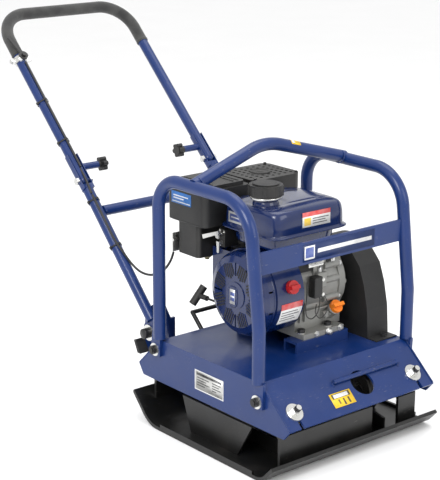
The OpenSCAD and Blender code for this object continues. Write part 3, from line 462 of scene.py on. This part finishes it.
# many small bars in one mesh: rows of centre, half length, half width, half height and a frame
def barSet(name, centres, along, across, out, half, mat, body, bevel=0.0):
    centres, along, across, out = (np.asarray(v, float) for v in (centres, along, across, out))
    half = np.broadcast_to(np.asarray(half, float), (len(centres), 3)) / 1000
    sign = np.array([[-1, -1, -1], [1, -1, -1], [1, 1, -1], [-1, 1, -1], [-1, -1, 1], [1, -1, 1],
                     [1, 1, 1], [-1, 1, 1]], float)
    spread = (sign[None, :, 0, None] * (half[:, 0, None] * along)[:, None]
              + sign[None, :, 1, None] * (half[:, 1, None] * across)[:, None]
              + sign[None, :, 2, None] * (half[:, 2, None] * out)[:, None])
    points = (centres[:, None] / 1000 + spread).reshape(-1, 3)
    faces = np.array([[0, 3, 2, 1], [4, 5, 6, 7], [0, 1, 5, 4], [1, 2, 6, 5], [2, 3, 7, 6],
                      [3, 0, 4, 7]])
    faces = (faces[None] + 8 * np.arange(len(centres))[:, None, None]).reshape(-1, 4)
    turning = np.einsum("ij,ij->i", np.cross(along, across), out) < 0
    faces = np.where(np.repeat(turning, 6)[:, None], faces[:, ::-1], faces)
    mesh = bpy.data.meshes.new(name)
    mesh.from_pydata(points.tolist(), [], faces.tolist())
    return showPiece(name, mesh, mat, body, bevel=bevel / 1000)


# hexagon bolt heads with washers in one mesh each, all on one axis direction
def boltHeads(name, centres, axis, radius, height, mat, body):
    centres = np.asarray(centres, float)
    axis = unitRows(np.asarray(axis, float))
    a = unitRows(np.cross(axis, [0.31, 0.95, 0.07]))
    b = np.cross(axis, a)
    rings = np.array([[0, 1.5], [0.22, 1.5], [0.22, 1.0], [0.9, 1.0], [1.0, 0.88], [1.0, 0.01]])
    angle = np.linspace(0, 2 * math.pi, 6, endpoint=False)
    round6 = np.cos(angle)[:, None] * a + np.sin(angle)[:, None] * b
    shape = (rings[:, 0, None, None] * height * axis
             + rings[:, 1, None, None] * radius * round6[None])
    points = (centres[:, None, None] + shape[None]) / 1000
    count, rows = len(centres), len(rings)
    index = np.arange(count * rows * 6).reshape(count, rows, 6)
    nxt = np.roll(index, -1, axis=2)
    quads = np.stack([index[:, :-1], nxt[:, :-1], nxt[:, 1:], index[:, 1:]], -1).reshape(-1, 4)
    mesh = bpy.data.meshes.new(name)
    mesh.from_pydata(points.reshape(-1, 3).tolist(), [], quads.tolist())
    return showPiece(name, mesh, mat, body)


# rounded rectangle loop: |x/a|^p + |y/b|^p = 1 sampled by angle
def loopPoints(halfX, halfY, power, count=96):
    t = np.linspace(0, 2 * math.pi, count, endpoint=False)
    c, s = np.cos(t), np.sin(t)
    reach = (np.abs(c / halfX) ** power + np.abs(s / halfY) ** power) ** (-1 / power)
    return reach * c, reach * s


# fuel tank skin: stacked rounded rectangles with a seam flange and a crowned top
tank = {"centre": (-20, -6), "count": 128, "edge": 529.4, "rise": 4.4, "cap": (-15, -66),
        "dip": 1.8, "dipReach": 44.0, "dipSoft": 2.2, "groove": 0.8, "grooveAt": 44,
        "grooveWide": 4.0}


def buildTank():
    levels = [(438.2, 66, 84, 5), (438.2, 70, 88, 5), (440, 73, 91, 5), (446, 74.6, 92.6, 5.5),
              (462, 75, 93, 6), (468.5, 76.5, 94.5, 6), (470.1, 80, 98, 7), (470.1, 95, 113, 8),
              (471, 95.8, 113.8, 8), (473, 95.8, 113.8, 8), (473.9, 95, 113, 8),
              (474, 91.4, 109.4, 7),
              (478, 90.4, 108.4, 7), (490, 90.2, 108.2, 7), (506, 89.5, 107.5, 7),
              (517, 88.3, 106.3, 6.5), (522, 86.8, 104.8, 6.2), (526, 84.0, 102.0, 6),
              (528.3, 80.0, 98.0, 5.6), (529.4, 75, 93, 5.2)]
    rows = []
    for z, halfX, halfY, power in levels:
        x, y = loopPoints(halfX, halfY, power, tank["count"])
        rows.append(np.stack([x, y, np.full_like(x, z)], -1))
    edgeX, edgeY = loopPoints(75, 93, 5.2, tank["count"])
    for s in np.linspace(0.93, 0.0, 22):     # z = edge + rise (1 - s^3) - dip - groove (1 - s^8)
        x, y = edgeX * max(s, 1e-4), edgeY * max(s, 1e-4)
        away = np.hypot(x + tank["centre"][0] - tank["cap"][0],
                        y + tank["centre"][1] - tank["cap"][1])
        dip = tank["dip"] / (1 + np.exp((away - tank["dipReach"]) / tank["dipSoft"]))
        groove = tank["groove"] * (away > tank["dipReach"]) * np.exp(
            -((np.abs(x) - tank["grooveAt"]) / tank["grooveWide"]) ** 2)
        z = tank["edge"] + tank["rise"] * (1 - s ** 3) - dip - groove * (1 - s ** 8)
        rows.append(np.stack([x, y, z], -1))
    points = (np.stack(rows) + np.array(tank["centre"] + (0,))) / 1000
    skin = gridPiece("tankSkin", points, "tankPaint", "deck", closeV=True)
    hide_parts("fuel_tank")
    cx, cy = tank["cap"]
    spin("tankNeck", [(525, 29), (533, 29), (536, 27), (540, 26.4), (541, 27.5), (541.5, 27.5),
                      (542, 25), (542, 24.4), (525, 24.4)], (cx, cy, 0), (0, 0, 1), "tankPaint",
         "deck")
    spin("tankNeckRing", [(541.6, 24.6), (541.6, 33), (543, 34.5), (546, 34.8), (547.6, 34),
                          (548.4, 32), (548.4, 24.6)], (cx, cy, 0), (0, 0, 1), "zinc", "deck", 64)
    barSet("tankLegs", [(-51, 56, 426), (19, 56, 426), (-51, -2, 437), (19, -2, 437)],
           [(1, 0, 0)] * 4, [(0, 1, 0)] * 4, [(0, 0, 1)] * 4,
           [(9, 20, 13), (9, 20, 13), (9, 6, 2), (9, 6, 2)], "blackMetal", "deck", 0.8)


# recoil cover: parallel louvres in eight sectors on the sloped face, with near-black bars as
# painted shade in the slots between them, and a plain badge
louvres = {"centre": (-34, -134.2, 330), "sectors": 8, "perSector": 5, "inner": 38, "outer": 72,
           "pitch": 6.4}


def buildRecoil():
    cx, cy, cz = louvres["centre"]
    centres, alongs, acrosses, halves = [], [], [], []
    for k in range(louvres["sectors"]):
        swing = 2 * math.pi * (k + 0.5) / louvres["sectors"]
        out = np.array([math.cos(swing), 0, math.sin(swing)])
        side = np.array([-math.sin(swing), 0, math.cos(swing)])
        for j in range(louvres["perSector"]):
            offset = (j - (louvres["perSector"] - 1) / 2) * louvres["pitch"]
            low = louvres["inner"] + abs(offset) * 0.5
            high = math.sqrt(louvres["outer"] ** 2 - offset ** 2)
            centres.append(np.array([cx, cy, cz]) + out * (low + high) / 2 + side * offset)
            alongs.append(out)
            acrosses.append(side)
            halves.append(((high - low) / 2, 1.7, 0.55))
    face = [(0, -1, 0)] * len(centres)
    barSet("recoilSlots", centres, alongs, acrosses, face, halves, "paintedShadeBlack", "deck")
    shift = np.array([c + s * 2.6 for c, s in zip(centres, acrosses)])
    barSet("recoilRibs", shift, alongs, acrosses, face,
           [(h[0] * 0.98, 0.8, 1.25) for h in halves], "tankPaint", "deck", 0.35)
    spin("recoilRim", [(99.4, 95.2), (101, 95.6), (103, 95.6), (104.4, 95.1)], (cx, 0, cz),
         (0, -1, 0), "tankPaint", "deck", 96)
    x, z = loopPoints(15.5, 24, 3.2, 48)
    rings = [np.stack([cx - 6 + x * s, np.full_like(x, y), cz - 4 + z * s], -1)
             for s, y in ((1.0, -135), (1.0, -137.2), (0.93, -138), (0.86, -137.6),
                          (0.001, -137.6))]
    gridPiece("recoilBadgeFrame", np.stack(rings) / 1000, "tankPaint", "deck", closeV=True)
    gridPiece("recoilBadge", patchPoints((cx - 14.5, -137.8, cz - 21), (17, 0, 0), (0, 0, 34)),
              "plainBadge", "deck", thick=0.0003)
    screws = [(cx + 88.5 * math.cos(a), -102.5, cz + 88.5 * math.sin(a))
              for a in np.radians((38, 158, 278))]
    boltHeads("recoilScrews", screws, (0, -1, 0), 3.6, 3.4, "zinc", "deck")


buildTank()
buildRecoil()
print("tank and starter dressed")


# labels and badges; the drum label follows the drum: x = cx + r cos a, z = cz + r sin a
def buildLabels():
    thin = 0.0003
    gridPiece("dataPlateFoil", patchPoints((-69, -217.9, 124.5), (92, 0, 0), (0, 0, 41)),
              "dataFoil", "deck", thick=thin)
    gridPiece("cautionSign", patchPoints((198, -71, 152.6), (26, -2, -21.5), (0, 61, 0)),
              "yellowSign", "deck", thick=thin)
    gridPiece("tankLabel", patchPoints((70.6, -36, 487), (0, 82, -1), (-0.7, 0, 33)), "tankLabel",
              "deck", thick=thin)
    gridPiece("tankBadge", patchPoints((-82, -114.4, 484), (72, 0, 0), (0, 0.6, 24)), "plainBadge",
              "deck", thick=thin)
    gridPiece("airCleanerLabel", patchPoints((-238, -150.2, 503), (70, 0, 0), (0, 0, 27)),
              "blueLabel", "deck", thick=thin)
    gridPiece("crossPlateBadge", patchPoints((129.3, -88, 434), (0, 212, 0), (0, 0, 37)),
              "crossBlank", "deck", thick=thin)
    way = unitRows(np.array([0.1097, 1.0, -0.2767]))
    over = unitRows(np.cross(way, [1.0, 0.0, 0.25]))
    aside = np.cross(over, way)
    swing = np.radians(np.linspace(-15, 75, 10))[None, :, None]
    along = np.linspace(-13, 13, 3)[:, None, None] * way
    wrap = (np.cos(swing) * over * np.sign(over[2])
            + np.sin(swing) * aside * np.sign(aside[0]))
    sign = np.array([-85.5, 75, 623.2]) + along + 14.6 * wrap
    gridPiece("archSign", sign / 1000, "yellowSign", "deck", thick=thin)
    angle = np.arcsin((np.linspace(272, 322, 14) - 330) / 98.3)
    y = np.linspace(-86, -24, 4)
    drum = np.stack(np.broadcast_arrays(-34 + 98.3 * np.cos(angle)[None], y[:, None],
                                        330 + 98.3 * np.sin(angle)[None]), -1) / 1000
    gridPiece("drumLabel", drum, "drumLabel", "deck", thick=thin)


buildLabels()
print("labels on")


# ribs, bolts and small castings on the crankcase front and cover
def buildCrankcase():
    up, front, side = (0, 0, 1), (1, 0, 0), (0, 1, 0)
    barSet("crankcaseRibs",
           [(35, y, 300) for y in (-6, 8, 92)] + [(36, 50, z) for z in (280, 322)],
           [up] * 3 + [side] * 2, [side] * 3 + [up] * 2, [front] * 5,
           [(44, 1.8, 4)] * 3 + [(46, 1.8, 4)] * 2, "castAluminium", "deck", 0.8)
    blockPiece("governorBoss", (30, 34, 330), (50, 62, 366), "castAluminium", "deck", 3)
    spin("governorShaft", [(0, 6), (12, 6), (13, 4), (24, 4), (24.5, 0)], (38, 48, 366), (0, 0, 1),
         "steel", "deck")
    # black block as painted shade in the valley between the crankcase ribs
    blockPiece("valleyShadow", (33, -14, 372), (37, 96, 404), "paintedShadeBlack", "deck", 1)
    boltHeads("coverBolts", [(40, 106.5, z) for z in (262, 300, 342, 376)] + [(40, 86, 388)],
              (1, 0, 0), 4.2, 4.5, "zinc", "deck")
    boltHeads("sumpBolts", [(62.2, y, 232) for y in (20, 92)], (1, 0, 0), 5.2, 5.0, "zinc", "deck")
    spin("drainPlug", [(0, 9), (3, 9), (3, 7), (10, 7), (11, 5.5), (11, 0)], (62, 56, 231),
         (1, 0, 0), "steel", "deck", 6)
    spin("neckCollar", [(22, 14.2), (23, 16.2), (27, 16.2), (28, 14.2)], (26, 90, 258),
         (0.766, 0, 0.643), "castAluminium", "deck")
    boltHeads("sensorScrews", [(64.2, 36, 356), (64.2, 36, 322)], (1, 0, 0), 3.0, 2.5, "zinc",
              "deck")
    hose("sensorLead", [(60, 30, 318), (66, 24, 300), (68, 16, 284), (64, 4, 272), (58, -6, 278),
                        (56, -8, 296), (54, -4, 320), (46, 4, 352)], 1.3, "hose", "deck")
    hose("sensorLoop", [(62, 42, 318), (70, 46, 298), (72, 38, 280), (64, 28, 268), (58, 20, 280),
                        (58, 22, 300)], 1.1, "hose", "deck")
    hose("breatherHose", [(36, 70, 384), (46, 76, 400), (40, 84, 420), (20, 92, 430),
                          (-10, 98, 432), (-60, 100, 430), (-100, 96, 438)], 4.2, "hose", "deck")
    hose("governorRod", [(44, 48, 388), (46, 30, 396), (30, 8, 416), (0, -12, 430),
                         (-60, -30, 432), (-98, -40, 446)], 1.0, "steel", "deck", sides=8)
    t = np.linspace(0, 9 * 2 * math.pi, 260)     # spring: x along, y and z turning
    coil = np.stack([52 + 0 * t, 10 + 2.6 * np.cos(t), 392 + 2.6 * np.sin(t)], -1) / 1000
    coil[:, 1] += np.linspace(0, 0.034, len(t))
    gridPiece("governorSpring", tubeAlong(coil, 0.0006, 8, (1, 0.02, 0.01)), "steel", "deck",
              closeV=True)
    blockPiece("governorArm", (47, 6, 384), (49, 50, 394), "zinc", "deck", 0.6)
    hose("plugLead", [(-92, -30, 404), (-104, -44, 414), (-120, -40, 420), (-134, -22, 416)], 3.2,
         "hose", "deck")
    hose("fuelHose", [(-62, -60, 439), (-70, -72, 432), (-84, -76, 428), (-98, -70, 426)], 3.4,
         "hose", "deck")


# air cleaner, carburettor and muffler details
def buildTopside():
    seam = []
    for z, halfX, halfY in ((463.0, 67.2, 65.2), (464.2, 68.4, 66.4), (466.6, 68.4, 66.4),
                            (467.6, 67.2, 65.2)):
        x, y = loopPoints(halfX, halfY, 9)
        seam.append(np.stack([-188 + x * 1.002, -84 + y * 1.002, np.full_like(x, z)], -1))
    gridPiece("airSeam", np.stack(seam) / 1000, "blackPlastic", "deck", closeV=True)
    spin("airKnob", [(553, 12), (556, 12), (560, 10.5), (561, 8), (561.4, 0)], (-188, -84, 0),
         (0, 0, 1), "blackPlastic", "deck", 24)
    barSet("airCleanerRibs", [(-188, -84 + d, 554.4) for d in (-44, -30, 30, 44)],
           [(1, 0, 0)] * 4, [(0, 1, 0)] * 4, [(0, 0, 1)] * 4, (50, 1.6, 1.0), "blackPlastic",
           "deck", 0.5)
    spin("mufflerDisc", [(549.6, 24), (551.4, 24), (552.4, 22), (551.0, 19), (550.6, 8),
                         (551.6, 6), (551.6, 0)], (-182, 64, 0), (0, 0, 1), "blackMetal",
         "deck", 40)
    boltHeads("guardScrews", [(-182 + x, 64 + y, 550) for x in (-54, 54) for y in (-62, 62)],
              (0, 0, 1), 3.4, 3.2, "darkBolts", "deck")
    boltHeads("carbScrews", [(-113, -112.2, 456), (-100, -112.2, 456), (-113, -112.2, 424)],
              (0, -1, 0), 2.4, 2.0, "zinc", "deck")
    spin("carbBowl", [(358, 0), (358, 5), (362, 5.5), (362, 8), (366, 12), (372, 16),
                      (383.6, 17.5), (383.9, 0)], (-215, -66, 0), (0, 0, 1), "oliveCast",
         "deck", 32)
    t = np.linspace(0, 8 * 2 * math.pi, 220)
    coil = np.stack([-244 + 2.4 * np.cos(t), -132 + 2.4 * np.sin(t), 392 + 0 * t], -1) / 1000
    coil[:, 2] += np.linspace(0, 0.030, len(t))
    gridPiece("returnSpring", tubeAlong(coil, 0.0005, 8, (0.02, 0.01, 1)), "zinc", "deck",
              closeV=True)
    boltHeads("bracketScrews", [(-243.2, -138, 422), (-243.2, -116, 422)], (-1, 0, 0), 3.0, 2.6,
              "zinc", "deck")


buildCrankcase()
buildTopside()
print("engine dressed")


# weld beads: small overlapping ripples along a line, radius varied by a sine
def weld(name, start, end, radius, body):
    start, end = np.array(start, float) / 1000, np.array(end, float) / 1000
    length = np.linalg.norm(end - start)
    s = np.linspace(0, 1, max(24, int(length / 0.0006)))[:, None]
    beat = radius / 1000 * (1 + 0.22 * np.sin(s[:, 0] * length / 0.0032 * 2 * math.pi))
    return gridPiece(name, tubeAlong(start + s * (end - start), beat, 10), "navyPaint", body,
                     closeV=True)


# the same bead round a circle, its ripple following sin(14 t)
def ringWeld(name, centre, axis, radius, bead, body):
    axis = unitRows(np.array(axis, float))
    a = unitRows(np.cross(axis, [0.31, 0.95, 0.07]))
    b = np.cross(axis, a)
    t = np.linspace(0, 2 * math.pi, 90, endpoint=False)[:, None]
    path = np.array(centre, float) / 1000 + radius / 1000 * (np.cos(t) * a + np.sin(t) * b)
    out = unitRows(path - np.array(centre, float) / 1000)
    w = np.linspace(0, 2 * math.pi, 10, endpoint=False)[None, :, None]
    fat = bead / 1000 * (1 + 0.2 * np.sin(14 * t))[:, None, :]
    points = path[:, None] + fat * (np.cos(w) * out[:, None] + np.sin(w) * axis)
    return gridPiece(name, points, "navyPaint", body, closeU=True, closeV=True)


# black screw ends standing out of the zinc nuts on the isolators
def buildIsolatorCaps():
    for x, z, lean in ((207.6, 144.6, 41.06), (-252.1, 146.7, -43.57)):
        normal = np.array([math.sin(math.radians(lean)), 0, math.cos(math.radians(lean))])
        for s, tag in ((-1, "Right"), (1, "Left")):
            foot = np.array([x, s * 178, z]) + normal * 14.6
            spin("isolatorCap%s%s" % (tag, "Front" if x > 0 else "Rear"),
                 [(0, 8.2), (5.4, 8.2), (7.6, 6.9), (8.3, 6.3), (8.3, 0)], foot, normal,
                 "darkBolts", "deck", 6)


# straight beads on the deck and cage, and a ring bead where the arch meets each hoop
welds = {"bead": 1.7, "post": 14.4}


def buildWelds():
    for s, tag in ((-1, "Right"), (1, "Left")):
        barEnd = -44 if s < 0 else 152
        weld("weldPanel" + tag, (146, s * 216.2, 200.3), (236, s * 216.2, 121), welds["bead"],
             "deck")
        weld("weldRear" + tag, (-198, s * 216.2, 200.3), (-276, s * 216.2, 124), welds["bead"],
             "deck")
        ringWeld("weldArch" + tag, (-68, s * 206.5, 585), (0.0, -0.94 * s, 0.34), welds["post"],
                 1.5, "deck")
        weld("weldCross" + tag, (125, s * 206.8, 430), (125, s * 206.8, 476), 1.6, "deck")
        weld("weldFootFront" + tag, (128, s * 225.4, 203), (160, s * 225.4, 203), 1.5, "deck")
        weld("weldFootRear" + tag, (-210, s * 225.4, 219), (-180, s * 225.4, 219), 1.5, "deck")
        weld("weldBarEnd" + tag, (180, barEnd, 168), (188, barEnd, 161), 2.2, "deck")


buildWelds()
buildIsolatorCaps()
print("welds run")


handle = {"fold": (-526, 502.8), "armY": 191, "lowerSlope": 46.5, "upperSlope": 44.1}


# points on the handles: t runs up the slope from the fold, lift is toward the upper side
def alongHandle(t, y, lift, slope):
    c, s = math.cos(math.radians(slope)), math.sin(math.radians(slope))
    foldX, foldZ = handle["fold"]
    return np.array([foldX - t * c + lift * s, y, foldZ + t * s + lift * c])


ties = {"tie": 1.1, "radius": 13.6, "bulge": 5.6, "bulgeWide": 0.42,
        "places": ((-186, handle["lowerSlope"], "lower_handle"),
                   (-60, handle["lowerSlope"], "lower_handle"),
                   (112, handle["upperSlope"], "upper_handle"),
                   (232, handle["upperSlope"], "upper_handle"))}


# cable tie: a flat band round tube and cable, x = (r + bulge) cos a, y = r sin a
def buildTies():
    for k, (t, slope, body) in enumerate(ties["places"]):
        c, s = math.cos(math.radians(slope)), math.sin(math.radians(slope))
        way, out, side = np.array([-c, 0, s]), np.array([s, 0, c]), np.array([0, 1.0, 0])
        a = np.linspace(0, 2 * math.pi, 60, endpoint=False)[:, None]
        bulge = ties["bulge"] * np.exp(-((np.angle(np.exp(1j * a))) / ties["bulgeWide"]) ** 2)
        loop = (ties["radius"] + bulge) * np.cos(a) * out + ties["radius"] * np.sin(a) * side
        centre = alongHandle(t, -handle["armY"], 0, slope)
        profile = [(-1.9, 0), (1.9, 0), (1.9, ties["tie"]), (-1.9, ties["tie"])]
        radial = unitRows(loop)
        rows = [centre + loop + w * way + h * radial for w, h in profile]
        gridPiece("cableTie%d" % k, np.stack(rows, 1) / 1000, "blackPlastic", body, closeU=True,
                  closeV=True)
        head = centre + (ties["radius"] + 3) * -side + 1.5 * out
        barSet("cableTieHead%d" % k, [head], [way], [side], [out], (2.8, 2.0, 2.6), "blackPlastic",
               body, 0.4)


# foam grip: shallow waists near its two ends and a thicker rolled edge
def buildGripEnds():
    for s, tag in ((-1, "Right"), (1, "Left")):
        slope = handle["upperSlope"]
        centre = alongHandle(379, s * handle["armY"], 0, slope)
        way = (-math.cos(math.radians(slope)), 0, math.sin(math.radians(slope)))
        spin("gripRoll" + tag, [(0, 12.9), (0.2, 14.2), (1.4, 15.2), (3.4, 15.5), (5.4, 15.0),
                                (7.0, 14.7)], centre, way, "foam", "upper_handle", 48)


# pivot caps on the deck, spring ends on the lock pins, and beads on the crossbar's ends
def buildHandleBits():
    for s, tag in ((-1, "Right"), (1, "Left")):
        spin("pivotCap" + tag, [(0, 12.2), (2, 12.2), (3.2, 10.6), (3.4, 0)],
             (-268, s * 210, 193), (0, s, 0), "darkBolts", "deck", 40)
        spin("pinSpring" + tag, [(0, 6.2), (0.1, 7.6), (0.9, 7.6), (1.0, 6.2)],
             alongHandle(37, s * 131.4, 0, handle["upperSlope"]), (0, -s, 0), "zinc",
             "lock_pin_right" if s < 0 else "lock_pin_left", 24)
        joint = alongHandle(-88, s * 178.6, 13.4, handle["lowerSlope"])
        weld("crossTubeWeld" + tag, joint + np.array([-4, 0, -4]), joint + np.array([6, 0, -7]),
             1.4, "lower_handle")


# cable over the fold: bends between the two handles, start on the lower, end on the upper
def buildCableBridge():
    path = np.array([[-485, -197, 481], [-492, -197, 490], [-503, -196, 502], [-517, -194, 514],
                     [-532, -192, 525], [-543, -191, 533.5], [-549, -191, 538.8]], float)
    points = tubeAlong(smoothPath(path, 8), 0.0027, 14, (0.1, 0.99, 0.05))
    bridge = gridPiece("cableBridge", points, "cableSheath", None, closeV=True)
    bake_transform(bridge)


buildTies()
buildCableBridge()
buildGripEnds()
buildHandleBits()
print("handle dressed")


# floor, light and camera
studio = {"floorHalf": 40.0, "wall": (1.0, 1.0, 1.0), "world": 1.0, "key": 75.0, "fill": 22.0,
          "top": 30.0}


def buildStudio():
    floor = bpy.data.meshes.new("studioFloor")
    half = studio["floorHalf"]
    floor.from_pydata([(-half, -half, -0.0005), (half, -half, -0.0005), (half, half, -0.0005),
                       (-half, half, -0.0005)], [], [(0, 1, 2, 3)])
    mat, tree, shader = newSurface("studioFloor", Roughness=0.65)
    coords = put(tree, "TexCoord").outputs["Object"]
    tree.links.new(blendColour(tree, noise(tree, coords, 3.0, 2.0), (0.93, 0.93, 0.93, 1),
                               (0.97, 0.97, 0.97, 1)), shader.inputs["Base Color"])
    floor.materials.append(mat)
    plane = bpy.data.objects.new("studioFloor", floor)
    bpy.context.scene.collection.objects.link(plane)
    world = bpy.data.worlds.new("studioWorld")
    world.use_nodes = True
    backdrop = world.node_tree.nodes["Background"]
    backdrop.inputs["Color"].default_value = studio["wall"] + (1.0,)
    backdrop.inputs["Strength"].default_value = studio["world"]
    bpy.context.scene.world = world
    target = Vector((-0.15, 0.0, 0.35))
    for name, place, size, power in (("keyLight", (1.2, -2.6, 2.6), 1.4, studio["key"]),
                                     ("fillLight", (2.8, 0.6, 1.8), 1.6, studio["fill"]),
                                     ("topLight", (-0.4, 0.5, 3.0), 2.0, studio["top"])):
        lamp = bpy.data.lights.new(name, "AREA")
        lamp.energy = power
        lamp.size = size
        holder = bpy.data.objects.new(name, lamp)
        holder.location = place
        holder.rotation_euler = (Vector(place) - target).to_track_quat("Z", "Y").to_euler()
        bpy.context.scene.collection.objects.link(holder)


viewpoint = {"angles": (50.26, 16.09, 0.15), "place": (2.2597, -2.0853, 1.3239), "lens": 109,
             "sensor": 36}


def placeCamera():
    azimuth, elevation, roll = (math.radians(v) for v in viewpoint["angles"])
    right = Vector((math.cos(azimuth), math.sin(azimuth), 0))
    back = Vector((math.sin(azimuth) * math.cos(elevation),
                   -math.cos(azimuth) * math.cos(elevation), math.sin(elevation)))
    up = back.cross(right)
    tilted = right * math.cos(roll) + up * math.sin(roll)
    upright = up * math.cos(roll) - right * math.sin(roll)
    lens = bpy.data.cameras.new("viewCamera")
    lens.lens = viewpoint["lens"]
    lens.sensor_width = viewpoint["sensor"]
    camera = bpy.data.objects.new("viewCamera", lens)
    pose = Matrix((tilted, upright, back)).transposed().to_4x4()
    pose.translation = Vector(viewpoint["place"])
    camera.matrix_world = pose
    bpy.context.scene.collection.objects.link(camera)
    bpy.context.scene.camera = camera


buildStudio()
placeCamera()
bpy.context.scene.view_settings.view_transform = "Standard"
print("studio ready")
